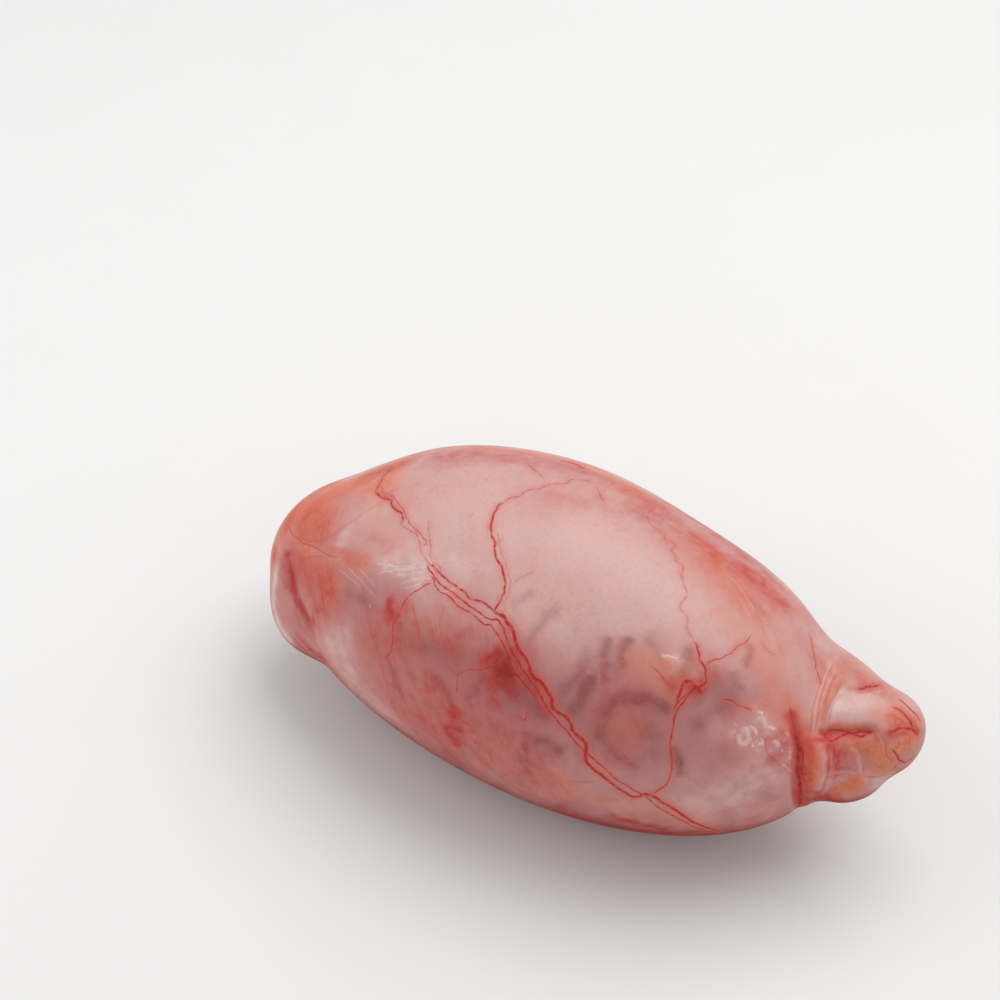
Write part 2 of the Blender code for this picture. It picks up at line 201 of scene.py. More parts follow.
# Vessels on the side that shows: half width in pixels, strength, points in pixels of the frame
VESSELS = {
    "long_upper": (1.15, 0.85, [
        (430, 562), (436, 569), (442, 575), (450, 582), (459, 588), (466, 593), (471, 599), (480, 601),
        (486, 604), (490, 608), (496, 612), (502, 617)]),
    "long_thick": (1.75, 1.25, [
        (496, 613), (502, 616), (508, 623), (513, 631), (515, 639), (517, 647), (523, 655), (528, 663),
        (530, 671), (534, 678), (540, 681), (545, 688), (551, 698), (553, 708), (561, 714), (567, 718),
        (571, 724), (572, 730), (578, 736), (585, 743), (586, 751), (586, 760), (594, 769), (601, 775),
        (609, 781), (616, 787), (624, 792), (633, 797), (640, 796), (646, 794), (652, 796), (660, 801),
        (669, 806), (677, 811), (686, 818), (697, 824), (711, 829), (722, 831)]),
    "long_middle": (0.94, 0.95, [
        (425, 563), (430, 570), (434, 576), (439, 582), (443, 586), (450, 591), (457, 596), (467, 604),
        (477, 611), (486, 617), (493, 620), (498, 620), (503, 629), (507, 640), (512, 651), (516, 658),
        (523, 669), (530, 680), (537, 689), (541, 697), (547, 707), (553, 716), (561, 725), (571, 737),
        (577, 744), (585, 752), (597, 761), (607, 771), (617, 780), (629, 787), (640, 793), (648, 798),
        (658, 807), (671, 814), (686, 823), (700, 829), (712, 832), (722, 833)]),
    "long_lower": (0.85, 0.85, [
        (429, 575), (434, 580), (434, 584), (439, 591), (445, 594), (452, 599), (458, 606), (466, 610),
        (473, 614), (480, 621), (485, 625), (490, 624), (497, 634), (503, 644), (508, 656), (514, 671),
        (521, 680), (529, 689), (532, 693), (535, 699)]),
    "long_top_stem": (0.75, 0.85, [
        (391, 467), (387, 472), (383, 477), (379, 484), (376, 490), (377, 494), (381, 497), (386, 499)]),
    "long_top_left": (1.05, 0.85, [
        (375, 491), (380, 496), (384, 499), (390, 500), (392, 505), (396, 510), (401, 513), (403, 520),
        (403, 526)]),
    "long_top_right": (0.72, 0.6, [
        (381, 485), (383, 491), (388, 494), (394, 497), (397, 502), (401, 507), (405, 513), (408, 520),
        (412, 527), (418, 532), (424, 538), (428, 545)]),
    "braid_left": (0.75, 0.48, [
        (399, 521), (403, 526), (408, 529), (416, 534), (419, 540), (420, 546), (421, 551), (427, 561),
        (434, 568), (438, 577)]),
    "braid_right": (0.65, 0.42, [
        (428, 519), (429, 531), (430, 541), (431, 549), (430, 556), (434, 563), (439, 566), (442, 574)]),
    "braid_link": (0.59, 0.7, [(420, 544), (425, 544), (431, 543)]),
    "branch_top": (0.8, 0.52, [
        (592, 479), (588, 482), (584, 480), (573, 479), (567, 483), (557, 484), (549, 484), (540, 489),
        (533, 489), (527, 491), (520, 496), (511, 498), (504, 502), (497, 507)]),
    "branch_down": (1.15, 0.9, [
        (502, 501), (498, 506), (494, 513), (492, 521), (491, 529), (492, 536), (495, 543), (494, 549),
        (496, 556), (499, 563), (502, 567), (503, 574), (505, 583), (504, 593), (501, 600), (497, 606),
        (495, 611), (497, 618)]),
    "branch_echo": (0.77, 0.3, [
        (498, 530), (499, 541), (502, 553), (507, 568), (510, 581), (508, 594), (503, 604)]),
    "branch_spur": (0.75, 0.5, [(527, 462), (536, 471), (545, 479)]),
    "branch_dots": (0.77, 0.6, [(597, 486), (599, 492), (602, 498), (606, 502)]),
    "branch_side": (0.68, 0.35, [(511, 585), (519, 579), (529, 574), (538, 571)]),
    "thin_top": (1.25, 0.27, [
        (656, 505), (648, 514), (650, 523), (655, 528), (664, 533), (665, 539), (673, 543), (675, 547),
        (670, 550), (675, 555), (676, 561), (683, 566), (682, 573), (683, 580), (685, 587), (687, 596),
        (682, 602), (680, 608), (684, 613), (688, 617), (687, 627), (689, 633), (693, 639), (695, 645)]),
    "thin_down": (1.02, 1.05, [
        (693, 639), (696, 645), (699, 654), (700, 661), (705, 667), (706, 674), (706, 681), (702, 686),
        (696, 687), (692, 690), (686, 698), (679, 708), (674, 717), (673, 726), (671, 737), (670, 749)]),
    "thin_foot": (0.9, 0.75, [
        (670, 742), (671, 752), (672, 762), (671, 774), (668, 782), (661, 788), (654, 793), (648, 800)]),
    "thin_knot": (2.0, 1.3, [(690, 684), (696, 687), (700, 691), (703, 696)]),
    "thin_loop": (1.3, 1.1, [
        (699, 689), (692, 682), (686, 681), (682, 686), (680, 694), (677, 700), (681, 705)]),
    "thin_spur": (0.85, 0.6, [(649, 665), (655, 669), (661, 675), (667, 683), (673, 689)]),
    "right_branch": (0.62, 0.75, [
        (703, 668), (708, 662), (712, 661), (716, 658), (721, 659), (726, 655), (731, 654), (735, 649),
        (738, 645), (742, 645), (746, 642), (749, 638), (752, 634)]),
    "right_low": (0.77, 0.9, [(719, 698), (729, 699), (736, 704), (741, 707), (749, 709), (755, 714)]),
    "right_low_spur": (0.68, 0.5, [(702, 693), (706, 690), (711, 690)]),
    "right_squiggle": (0.6, 0.45, [(757, 640), (763, 645), (767, 651), (771, 653), (776, 655)]),
    "neck_vessel": (0.68, 0.75, [
        (808, 631), (811, 640), (813, 650), (815, 659), (816, 669), (820, 680), (821, 687)]),
    "left_branch": (0.77, 0.7, [
        (434, 583), (427, 585), (417, 590), (411, 594), (406, 600), (402, 607), (398, 616), (393, 625),
        (393, 636), (392, 646), (389, 653), (383, 661)]),
    "left_fork": (0.77, 0.4, [(390, 652), (394, 660), (398, 669)]),
    "left_y": (0.9, 0.45, [
        (446, 665), (452, 671), (458, 674), (467, 670), (479, 670), (491, 667), (500, 664)]),
    "left_y_stem": (0.9, 0.5, [(460, 670), (458, 678), (457, 686), (457, 696)]),
    "low_hook": (0.68, 0.55, [(514, 714), (521, 718), (526, 721), (527, 713), (534, 704)]),
    "low_hair": (0.51, 0.5, [(605, 744), (617, 749), (626, 757), (634, 767)]),
    "low_thread": (0.51, 0.45, [(566, 780), (580, 782), (596, 781)]),
    "tail_line_left": (1.3, 1.1, [
        (824, 736), (828, 732), (836, 730), (844, 731), (852, 734), (860, 731), (868, 732), (876, 733)]),
    "tail_line_under": (1.2, 1.0, [
        (825, 738), (832, 741), (840, 737), (848, 733), (858, 736), (866, 735), (874, 732)]),
    "tail_line_right": (1.25, 1.2, [
        (886, 733), (892, 732), (898, 729), (906, 728), (913, 730), (918, 734)]),
    "tail_line_end": (0.8, 0.9, [(912, 726), (914, 731), (917, 735)]),
    "shoulder_line": (1.0, 0.9, [(856, 690), (863, 688), (870, 687), (880, 685)]),
    "shoulder_edge": (0.8, 0.6, [(861, 691), (870, 685), (877, 683)]),
    "crease_line": (2.2, 1.0, [
        (793, 732), (797, 740), (799, 750), (798, 760), (798, 774), (800, 782), (800, 792), (800, 808)]),
    "crease_upper": (1.2, 0.5, [(789, 704), (791, 714), (793, 724), (796, 738), (800, 748)]),
    "crease_far": (1.2, 0.7, [(803, 738), (802, 748), (803, 760), (801, 772), (806, 774), (812, 774)]),
    "crease_foot": (0.9, 0.8, [(802, 788), (806, 792), (810, 795)]),
    "flank_thread_a": (0.8, 0.16, [(748, 594), (755, 606), (759, 620), (765, 634), (772, 648)]),
    "flank_thread_b": (0.8, 0.13, [(757, 598), (763, 612), (771, 628), (779, 644), (786, 660)]),
    "long_top_twig": (0.7, 0.7, [(391, 488), (390, 492), (392, 497), (392, 503)]),
    "long_top_twig_low": (0.6, 0.5, [(389, 491), (394, 491), (399, 489)]),
    "thin_loop_low": (0.8, 0.8, [(690, 690), (684, 697), (678, 702), (673, 712)]),
    "tail_line_branch": (0.8, 0.9, [(912, 729), (911, 723), (907, 718)]),
    "left_thin_a": (0.8, 0.35, [(444, 602), (442, 614), (440, 626), (441, 640)]),
    "left_thin_b": (0.8, 0.35, [(411, 600), (414, 612), (418, 626), (420, 640)]),
}

# Seams, the thin dark lines where folds meet, in the same form
SEAMS = {
    "cap_outline": (1.3, 0.45, [(287, 524), (292, 514), (300, 503), (311, 493), (325, 486), (340, 480)]),
    "cap_lower": (0.9, 0.75, [
        (288, 525), (293, 534), (302, 542), (312, 546), (322, 552), (330, 556), (340, 558)]),
    "cap_lower_far": (0.9, 0.3, [(296, 536), (306, 540), (318, 541), (330, 537), (342, 529), (352, 522)]),
    "cap_line_high": (0.9, 0.3, [(330, 537), (345, 526), (358, 517), (372, 508), (385, 500)]),
    "groove_line": (1.6, 0.9, [(287, 550), (290, 562), (292, 574), (294, 588), (297, 600)]),
    "groove_line_low": (1.4, 0.45, [(294, 588), (296, 602), (303, 614), (310, 622)]),
    "face_arc": (1.1, 0.4, [(295, 572), (299, 564), (305, 559), (316, 556), (328, 557)]),
    "rim_wrinkle_high": (1.3, 0.3, [(280, 612), (288, 626), (300, 640), (312, 652)]),
    "rim_wrinkle_mid": (1.3, 0.3, [(292, 606), (300, 624), (312, 640), (322, 650)]),
    "rim_wrinkle_low": (1.3, 0.25, [(284, 632), (296, 646), (310, 658), (322, 664)]),
    "pleat_outer": (1.2, 0.35, [(827, 666), (820, 684), (815, 700), (812, 716), (810, 732), (810, 742)]),
    "pleat_middle": (1.1, 0.35, [(834, 662), (826, 680), (821, 694), (819, 706), (817, 720), (815, 734)]),
    "pleat_inner": (1.1, 0.35, [(839, 672), (830, 688), (826, 700), (824, 714), (822, 730)]),
    "sleeve_end": (1.2, 0.35, [(842, 692), (834, 704), (830, 716), (828, 728)]),
    "roll_edge": (1.1, 0.7, [(826, 742), (828, 752), (829, 764), (828, 774), (824, 786), (819, 796)]),
    "roll_left": (1.0, 0.3, [(804, 744), (803, 756), (802, 770), (800, 784)]),
    "roll_fold": (0.7, 0.5, [(812, 744), (813, 756), (811, 768)]),
    "lobe_split": (0.7, 0.6, [(888, 740), (886, 750), (889, 758), (895, 764)]),
    "lobe_under": (1.5, 0.45, [(862, 776), (874, 777), (886, 775), (898, 772), (908, 767)]),
    "lobe_left": (1.2, 0.4, [(858, 745), (861, 756), (863, 766), (863, 775)]),
    "low_lobe_top": (1.3, 0.4, [(824, 781), (832, 776), (842, 774), (852, 775), (861, 777)]),
    "low_lobe_left": (0.8, 0.6, [(818, 797), (823, 790), (828, 780)]),
    "hair_high": (1.1, 1.3, [(896, 697), (902, 701), (908, 707), (913, 711), (918, 717), (922, 724)]),
    "hair_mid": (1.1, 1.3, [(890, 705), (897, 709), (903, 713), (908, 718), (911, 723), (913, 729)]),
    "hair_low": (1.1, 1.3, [(890, 748), (895, 753), (899, 760), (905, 762), (911, 759), (915, 752)]),
    "hair_foot": (0.9, 1.0, [(900, 762), (894, 768), (889, 771)]),
    "hair_ring": (0.6, 0.6, [(900, 737), (906, 734), (910, 739), (905, 744), (899, 742)]),
    "belly_line": (0.6, 0.4, [(600, 752), (610, 760), (618, 767)]),
    "left_line": (0.6, 0.35, [(566, 780), (580, 783), (592, 781)]),
    "hair_side": (0.6, 0.8, [(886, 712), (892, 714), (897, 718), (903, 722), (907, 728)]),
    "hair_curl": (0.6, 0.7, [(884, 718), (888, 715), (893, 717), (896, 722), (893, 727)]),
    "hair_ring_left": (0.6, 0.5, [(893, 740), (897, 736), (899, 742), (896, 748), (892, 745)]),
    "cell_outline": (0.9, 0.55, [
        (772, 732), (766, 738), (766, 748), (770, 756), (777, 763), (786, 769), (795, 775)]),
}

# Ridges, thin pale lines, in the same form. The ring and beads on the right of the body are painted glints,
# small white highlights of the wet membrane, and the fibre lines are partly painted glisten
RIDGES = {
    "double_line": (1.2, 0.22, [
        (726, 573), (733, 580), (739, 586), (743, 591), (746, 597), (751, 605), (756, 613)]),
    "double_line_low": (1.0, 0.14, [
        (724, 578), (731, 586), (737, 594), (742, 603), (747, 612), (753, 624)]),
    "fibre_glint": (0.8, 1.0, [(660, 654), (668, 656), (675, 658), (681, 662)]),
    "y_stem": (2.3, 0.3, [(848, 747), (856, 750), (860, 758), (861, 770), (862, 776)]),
    "y_arm": (2.3, 0.28, [(832, 774), (840, 772), (850, 773), (860, 776)]),
    "pleat_ridge": (1.1, 0.22, [(831, 662), (823, 681), (818, 697), (815, 713), (813, 732)]),
    "pleat_ridge_inner": (1.1, 0.22, [(837, 666), (828, 684), (823, 699), (821, 713), (819, 730)]),
    "sleeve_ridge": (1.2, 0.25, [(846, 684), (836, 700), (828, 718)]),
    "roll_ridge": (2.2, 0.22, [(821, 748), (824, 760), (824, 774), (820, 786)]),
    "rim_ridge": (2.0, 0.25, [(284, 616), (292, 632), (304, 646), (316, 656)]),
    "gap_ridge": (1.6, 0.3, [(876, 730), (880, 738), (884, 747)]),
    "low_lobe_ridge": (1.4, 0.25, [(826, 784), (836, 780), (848, 779)]),
    # painted glints: small white highlights of the wet membrane
    "glint_ring": (2.4, 0.75, [
        (740, 730), (744, 728), (748, 731), (749, 738), (747, 743), (742, 744), (739, 741), (739, 732)]),
    "glint_bead_a": (1.5, 1.0, [(747, 726), (752, 727), (756, 732), (757, 738)]),
    "glint_bead_b": (2.6, 0.55, [(758, 714), (763, 718), (765, 724), (764, 730)]),
    "glint_bead_c": (2.6, 0.9, [(771, 742), (775, 741), (778, 745), (777, 750)]),
    "glint_bead_d": (1.6, 0.8, [(764, 728), (769, 727), (774, 728), (779, 731)]),
    # fibre lines, partly painted glisten of the wet membrane
    "fibre_a": (0.6, 0.4, [(337, 567), (345, 574), (353, 581), (361, 589)]),
    "fibre_b": (0.6, 0.38, [(346, 565), (356, 576), (366, 587), (377, 598)]),
    "fibre_c": (0.5, 0.4, [(358, 568), (368, 578), (376, 588)]),
    "fibre_hook": (0.9, 0.9, [(372, 603), (370, 606), (373, 609)]),
    "fibre_e": (0.6, 0.52, [(374, 562), (386, 565), (398, 566), (411, 565), (424, 563)]),
    "fibre_f": (0.6, 0.59, [(376, 574), (390, 571), (404, 569), (418, 568), (431, 567)]),
    "fibre_g": (0.5, 0.45, [(380, 568), (394, 569), (408, 570)]),
    "fibre_h": (0.6, 0.45, [(390, 577), (402, 575), (416, 573), (428, 572)]),
    "fibre_i": (0.6, 0.45, [(398, 584), (411, 581), (425, 579)]),
    "fibre_j": (0.6, 0.52, [(402, 588), (414, 586), (424, 583)]),
    "fibre_k": (0.6, 0.59, [(440, 592), (450, 590), (460, 587), (469, 585)]),
    "fibre_l": (0.6, 0.35, [(467, 557), (467, 570), (467, 585)]),
    # painted glints: small white highlights of the wet membrane
    "glint_bead_e": (1.3, 0.9, [(760, 736), (762, 742), (762, 748)]),
    "glint_bead_f": (1.0, 0.5, [(780, 762), (785, 767), (790, 771), (795, 773)]),
    "glint_bead_g": (1.0, 0.8, [(784, 733), (788, 734), (790, 737)]),
}

# Lines: layers of each kind, curve steps before and after a seeded wobble, and that wobble in pixels
LAYERS = {"vessel": 6, "seam": 3, "ridge": 3}
KNOT_STEPS = 2
LINE_STEPS = 5
LINE_WOBBLE = 0.35

# In metres: how far round a line is worked out, the fade at its tips, the gap that two lines of one layer
# need, where its strength starts to fall and where it ends, and the flush round a vessel
LINE_REACH = 0.0040
LINE_TAPER = 0.0012
LAYER_GAP = 0.0024
GATE_FULL = 0.0007
GATE_END = 0.0011
FLUSH_WIDTH = 0.0007

# In half widths of a line: its width at the tips, its edge, its full core, and a place with no line near
LINE_TIP = 0.5
LINE_EDGE = 1.45
LINE_CORE = 0.40
FAR_ACROSS = 12.0

# Numbers that one vector attribute of the mesh holds
VECTOR_SIZE = 3

# Patches on the side that shows: tone, half width in pixels, strength, points in pixels of the frame
PATCHES = {
    "cap_fat": ("orange", 25, 1.4, [(316, 512), (303, 526), (324, 514)]),
    "cap_fat_high": ("orange", 22, 1.1, [(330, 494), (354, 484)]),
    "cap_edge_fat": ("orange", 22, 1.2, [(284, 532), (292, 517), (305, 503), (325, 487)]),
    "cap_nub": ("orange", 10, 1.7, [(274, 550), (274, 558)]),
    "face_fat": ("orange", 21, 0.92, [(304, 562), (326, 578), (327, 594)]),
    "fold_fan": ("orange", 9, 0.8, [(318, 549), (338, 556), (362, 562)]),
    "neck_back_fat": ("orange", 22, 0.25, [(372, 500), (392, 540)]),
    "crest_fat": ("orange", 12, 0.85, [
        (480, 448), (505, 449), (520, 451), (550, 456), (575, 463), (600, 471), (640, 491)]),
    "crest_spot": ("red", 6, 0.9, [(565, 462), (575, 464), (583, 468)]),
    "upper_spot": ("orange", 13, 1.0, [(634, 494), (650, 502)]),
    "high_orange": ("orange", 11, 0.75, [(700, 543), (712, 554), (720, 568)]),
    "high_wash": ("orange", 24, 0.55, [(705, 560), (728, 583), (746, 604)]),
    "flank_wash": ("orange", 15, 0.3, [(728, 612), (750, 640), (768, 655)]),
    "neck_wash": ("orange", 10, 0.6, [(788, 706), (797, 722)]),
    "low_wash": ("orange", 17, 0.45, [(560, 782), (600, 800), (650, 812)]),
    "sleeve_fat": ("orange", 7, 0.75, [(841, 668), (843, 682)]),
    "pleat_fat": ("orange", 8, 0.8, [(836, 676), (828, 694), (820, 716)]),
    "band_fat": ("orange", 3.5, 1.3, [(834, 728), (850, 727), (868, 728)]),
    "lobe_fat": ("orange", 11, 1.4, [(858, 746), (876, 750), (884, 765)]),
    "knob_fat": ("orange", 13, 1.0, [(902, 750), (910, 738)]),
    "knob_fat_high": ("orange", 13, 0.95, [(889, 719), (902, 716), (914, 722)]),
    "low_fat": ("orange", 9, 1.5, [(834, 793), (846, 788), (857, 784)]),
    "roll_fat": ("orange", 12, 1.2, [(808, 738), (813, 758), (812, 778)]),
    "blot_mid": ("red", 12, 1.3, [(503, 660), (509, 668)]),
    "blot_mid_halo": ("red", 20, 0.9, [(500, 660), (508, 674)]),
    "blot_low": ("red", 12, 1.1, [(452, 728), (456, 738)]),
    "blot_low_halo": ("red", 16, 0.95, [(450, 718), (456, 738)]),
    "blot_left": ("red", 15, 0.85, [(388, 606), (394, 614)]),
    "blot_left_halo": ("red", 18, 0.45, [(398, 608), (394, 640)]),
    "left_stain": ("red", 16, 0.55, [(424, 676), (440, 696)]),
    "knot_stain": ("red", 7, 1.0, [(688, 687), (697, 689), (702, 684)]),
    "spur_stain": ("red", 5, 0.6, [(664, 680), (673, 688)]),
    "high_red": ("red", 28, 0.62, [(656, 509), (686, 530), (716, 547)]),
    "high_red_thin": ("fresh", 7, 0.15, [(690, 535), (704, 544), (714, 550)]),
    "ridge_red": ("fresh", 12, 0.3, [(744, 571), (762, 581), (774, 590)]),
    "ridge_red_wide": ("red", 22, 0.78, [(740, 568), (762, 584), (776, 598)]),
    "ridge_red_low": ("red", 7, 0.25, [(786, 596), (800, 614), (812, 632)]),
    "mid_red": ("red", 8, 0.3, [(752, 598), (758, 612)]),
    "top_pink": ("red", 16, 0.14, [(560, 496), (580, 506)]),
    "left_pink": ("red", 12, 0.3, [(375, 540), (384, 546)]),
    "crease_red": ("red", 6.5, 1.25, [
        (790, 716), (797, 738), (799, 752), (801, 770), (800, 790), (800, 810)]),
    "crease_wash": ("red", 9, 0.6, [(795, 732), (799, 752), (803, 792)]),
    "roll_red": ("red", 6, 0.75, [(807, 742), (809, 760), (807, 782)]),
    "tail_red_left": ("red", 4, 1.0, [(829, 736), (845, 734), (868, 733)]),
    "tail_red_right": ("red", 5, 1.0, [(890, 733), (905, 729), (917, 732)]),
    "groove_red": ("red", 6, 0.95, [(288, 556), (291, 570), (296, 592)]),
    "face_red": ("red", 21, 0.62, [(304, 570), (330, 586), (318, 608)]),
    "cap_red": ("red", 30, 0.5, [(302, 524), (318, 510), (330, 518)]),
    "rim_red": ("red", 9, 0.72, [(296, 640), (313, 652), (326, 661)]),
    "shoulder_red": ("red", 5, 0.35, [(855, 691), (880, 686)]),
    # painted shade: dark red along the lower rim, next to the floor
    "low_rim_shade": ("red", 14, 1.25, [(560, 813), (600, 824), (640, 831), (700, 835), (745, 831)]),
    # red under the lower lobe, partly painted shade
    "lobe_under_red": ("red", 7, 1.2, [(820, 797), (832, 801), (846, 802)]),
    "left_streaks": ("streak", 42, 0.7, [(400, 642), (430, 692), (480, 725)]),
    "low_streaks": ("streak", 34, 0.7, [(400, 700), (470, 745), (530, 770)]),
    "right_streaks": ("streak", 34, 0.55, [(712, 562), (785, 640), (790, 680)]),
    "top_streaks": ("streak", 26, 0.4, [(540, 500), (600, 500)]),
    "tail_mauve_gap": ("mauve", 5, 0.8, [(879, 737), (881, 747)]),
    "tail_mauve": ("red", 12, 0.95, [(834, 744), (838, 770)]),
    "head_mauve": ("mauve", 20, 0.75, [(350, 600), (385, 590), (400, 580)]),
    "mid_mauve": ("mauve", 34, 0.85, [(600, 670), (650, 690), (680, 720)]),
    "low_mauve": ("mauve", 34, 0.75, [(560, 720), (620, 750), (680, 760)]),
    "left_mauve": ("mauve", 20, 0.6, [(470, 690), (520, 740), (540, 760)]),
    "right_mauve": ("mauve", 22, 0.45, [(720, 690), (725, 740)]),
    # pale lip of the cap, made paler still as painted light on the left rim
    "lip_pale_and_light": ("pale", 7, 2.0, [(276, 566), (274, 600), (279, 625), (290, 640)]),
    "cap_line_pale": ("pale", 4, 0.9, [(290, 526), (301, 541), (317, 548), (330, 556)]),
    "cap_spot_pale": ("pale", 10, 1.6, [(343, 537), (339, 548)]),
    "pleat_pale": ("pale", 4, 0.9, [(838, 658), (826, 682), (819, 705), (815, 728)]),
    "lobe_pale": ("pale", 12, 1.65, [(842, 706), (860, 702), (878, 705)]),
    "roll_rim_pale": ("pale", 6, 0.55, [(820, 752), (823, 766), (821, 786)]),
    "y_pale": ("pale", 2.3, 0.9, [(850, 743), (857, 752), (860, 764), (861, 775)]),
    "y_arm_pale": ("pale", 2.3, 0.8, [(834, 774), (848, 773), (861, 774)]),
    "shine_pale": ("pale", 42, 0.8, [(580, 545), (640, 560), (665, 600)]),
    "top_pale": ("pale", 40, 0.45, [(440, 490), (520, 540)]),
    "belly_pale": ("pale", 24, 0.95, [(700, 795), (745, 785), (772, 768)]),
    "left_belly_pale": ("pale", 17, 1.05, [(332, 650), (340, 634), (352, 668)]),
    "flank_pale": ("pale", 20, 0.6, [(768, 615), (795, 660)]),
    "low_pale": ("pale", 18, 0.4, [(590, 790), (560, 770)]),
    "tub_a": ("grey", 5, 0.9, [(627, 640), (622, 654), (622, 667)]),
    "tub_b": ("grey", 5, 0.75, [(607, 642), (604, 660), (603, 676)]),
    "tub_c": ("grey", 7, 1.1, [(590, 680), (580, 698), (572, 716)]),
    "tub_d": ("grey", 7, 1.15, [(600, 735), (602, 716), (614, 702), (634, 699), (655, 702), (668, 708)]),
    "tub_e": ("grey", 5, 0.7, [(600, 735), (610, 750), (622, 760), (634, 768)]),
    "tub_f": ("grey", 10, 0.95, [(541, 742), (550, 746), (558, 750)]),
    "tub_g": ("grey", 5, 0.7, [(519, 755), (526, 772)]),
    "tub_h": ("grey", 5, 1.1, [(675, 749), (678, 762), (682, 772)]),
    "tub_i": ("grey", 7, 0.35, [(722, 748), (728, 762)]),
    "tub_j": ("grey", 7, 0.85, [(690, 652), (683, 672), (676, 688)]),
    "tub_k": ("grey", 4, 0.7, [(750, 646), (748, 664)]),
    "tub_l": ("grey", 5, 0.6, [(733, 674), (738, 686)]),
    "tub_m": ("grey", 6, 0.4, [(553, 610), (540, 622), (534, 636)]),
    "tub_n": ("grey", 7, 0.6, [(698, 724), (716, 708), (728, 704)]),
    "tub_o": ("grey", 5, 0.8, [(482, 676), (474, 690), (470, 698)]),
    "tub_p": ("grey", 11, 0.95, [(512, 692), (528, 702), (542, 706)]),
    "tub_q": ("grey", 5, 0.5, [(388, 660), (394, 676), (402, 694)]),
    "tub_r": ("grey", 6, 0.5, [(350, 592), (362, 600), (372, 604)]),
    "tub_s": ("grey", 8, 0.5, [(640, 726), (656, 738), (654, 756)]),
    "tub_t": ("grey", 7, 0.6, [(586, 660), (578, 676), (566, 690)]),
    "tub_u": ("grey", 7, 0.5, [(650, 640), (660, 652), (664, 668)]),
    "tub_v": ("grey", 5, 0.8, [(436, 678), (446, 694), (452, 708)]),
    "tub_w": ("grey", 8, 0.5, [(760, 790), (772, 800)]),
    "tub_x": ("grey", 6, 0.5, [(584, 742), (580, 760)]),
    "crease_dark": ("dark", 1.6, 0.12, [(797, 740), (799, 760), (798, 780), (800, 804)]),
    "crease_point": ("dark", 2.5, 0.8, [(806, 792)]),
    # fibres, partly painted glisten: white highlights of the wet membrane
    "fibres": ("fibre_glisten", 12, 1.1, [(388, 570), (405, 568), (424, 576)]),
    "fibres_low": ("fibre_glisten", 12, 0.5, [(430, 590), (452, 600)]),
    "fibres_mid": ("fibre_glisten", 8, 0.4, [(448, 556), (470, 566), (476, 572)]),
    "fibres_right": ("fibre_glisten", 5, 0.6, [(664, 655), (682, 661)]),
    # painted glints: small white highlights of the wet membrane
    "painted_glints": ("painted_glints", 10, 0.8, [(741, 730), (748, 738), (756, 742)]),
    "glints_top": ("painted_glints", 9, 0.7, [(756, 712), (764, 720), (768, 728)]),
    "glints_right": ("painted_glints", 11, 0.8, [(772, 732), (784, 740), (786, 768)]),
    "cap_edge_red": ("red", 14, 0.55, [(287, 524), (294, 512), (305, 500), (325, 486)]),
    "cap_nub_red": ("red", 7, 0.9, [(274, 555)]),
    "mid_fat": ("orange", 16, 0.55, [(638, 660), (656, 665), (676, 684)]),
    "mid_fat_low": ("orange", 14, 0.28, [(600, 722), (636, 736)]),
    "left_red": ("red", 50, 0.42, [(392, 662), (436, 712), (500, 755)]),
    "crease_halo": ("fresh", 10, 0.42, [(796, 730), (804, 752), (807, 772)]),
    "roll_edge_red": ("red", 4, 0.6, [(826, 742), (829, 754), (828, 770)]),
    "tail_gap_red": ("red", 5, 0.35, [(874, 737), (886, 738)]),
    "band_red": ("red", 4, 0.15, [(834, 728), (850, 727), (868, 728)]),
    "knob_red": ("red", 8, 0.45, [(902, 712), (914, 724)]),
    "low_fat_red": ("red", 8, 0.7, [(822, 795), (840, 800), (858, 800)]),
    # painted light: lifts the shade on the top of the lower lobe
    "low_lobe_light": ("pale", 10, 1.45, [(866, 780), (876, 782), (885, 777)]),
    "side_pink": ("red", 9, 0.22, [(598, 494), (608, 508)]),
    "top_left_fat": ("orange", 18, 0.48, [(392, 476), (390, 502)]),
    "top_left_pink": ("red", 30, 0.12, [(420, 495), (450, 480)]),
    "stem_dark": ("red", 3, 0.6, [(391, 468), (384, 475), (378, 488)]),
    "stem_knot": ("dark", 2.6, 0.9, [(391, 467), (390, 471)]),
    "stem_low_dark": ("red", 3, 0.6, [(378, 493), (390, 500), (397, 511)]),
    "dot_dark": ("dark", 1.8, 0.8, [(415, 469)]),
    "flank_spot": ("orange", 7, 0.6, [(788, 604), (795, 612)]),
    "flank_low_fat": ("orange", 12, 0.5, [(770, 700), (784, 716)]),
    "flank_shade": ("mauve", 18, 0.35, [(750, 676), (752, 690)]),
    "cell_red": ("red", 7, 0.4, [(769, 745), (777, 739), (783, 747), (778, 755)]),
    "fibre_shine": ("pale", 10, 1.0, [(404, 578), (416, 584)]),
    "fibre_shine_high": ("pale", 8, 0.8, [(398, 556), (414, 560)]),
    "blot_core": ("dark", 13, 0.9, [(504, 664), (512, 672)]),
    "blot_low_core": ("dark", 7, 0.22, [(454, 728), (457, 738)]),
    "blot_shade": ("grey", 9, 0.45, [(488, 685), (510, 682)]),
    "left_lilac_a": ("mauve", 14, 1.5, [(502, 704), (522, 706), (540, 710)]),
    "left_lilac_b": ("mauve", 12, 1.2, [(528, 740), (546, 748)]),
    "left_lilac_c": ("mauve", 8, 1.2, [(470, 716), (478, 730)]),
    "left_lilac_d": ("mauve", 9, 0.7, [(438, 652), (450, 658)]),
    "left_lilac_e": ("mauve", 6, 1.0, [(394, 672), (398, 684)]),
    "left_lilac_f": ("mauve", 5, 1.0, [(408, 666), (412, 678)]),
    "left_grey_a": ("grey", 4, 0.8, [(526, 734), (526, 766)]),
    "left_grey_b": ("grey", 4, 0.8, [(480, 684), (474, 694)]),
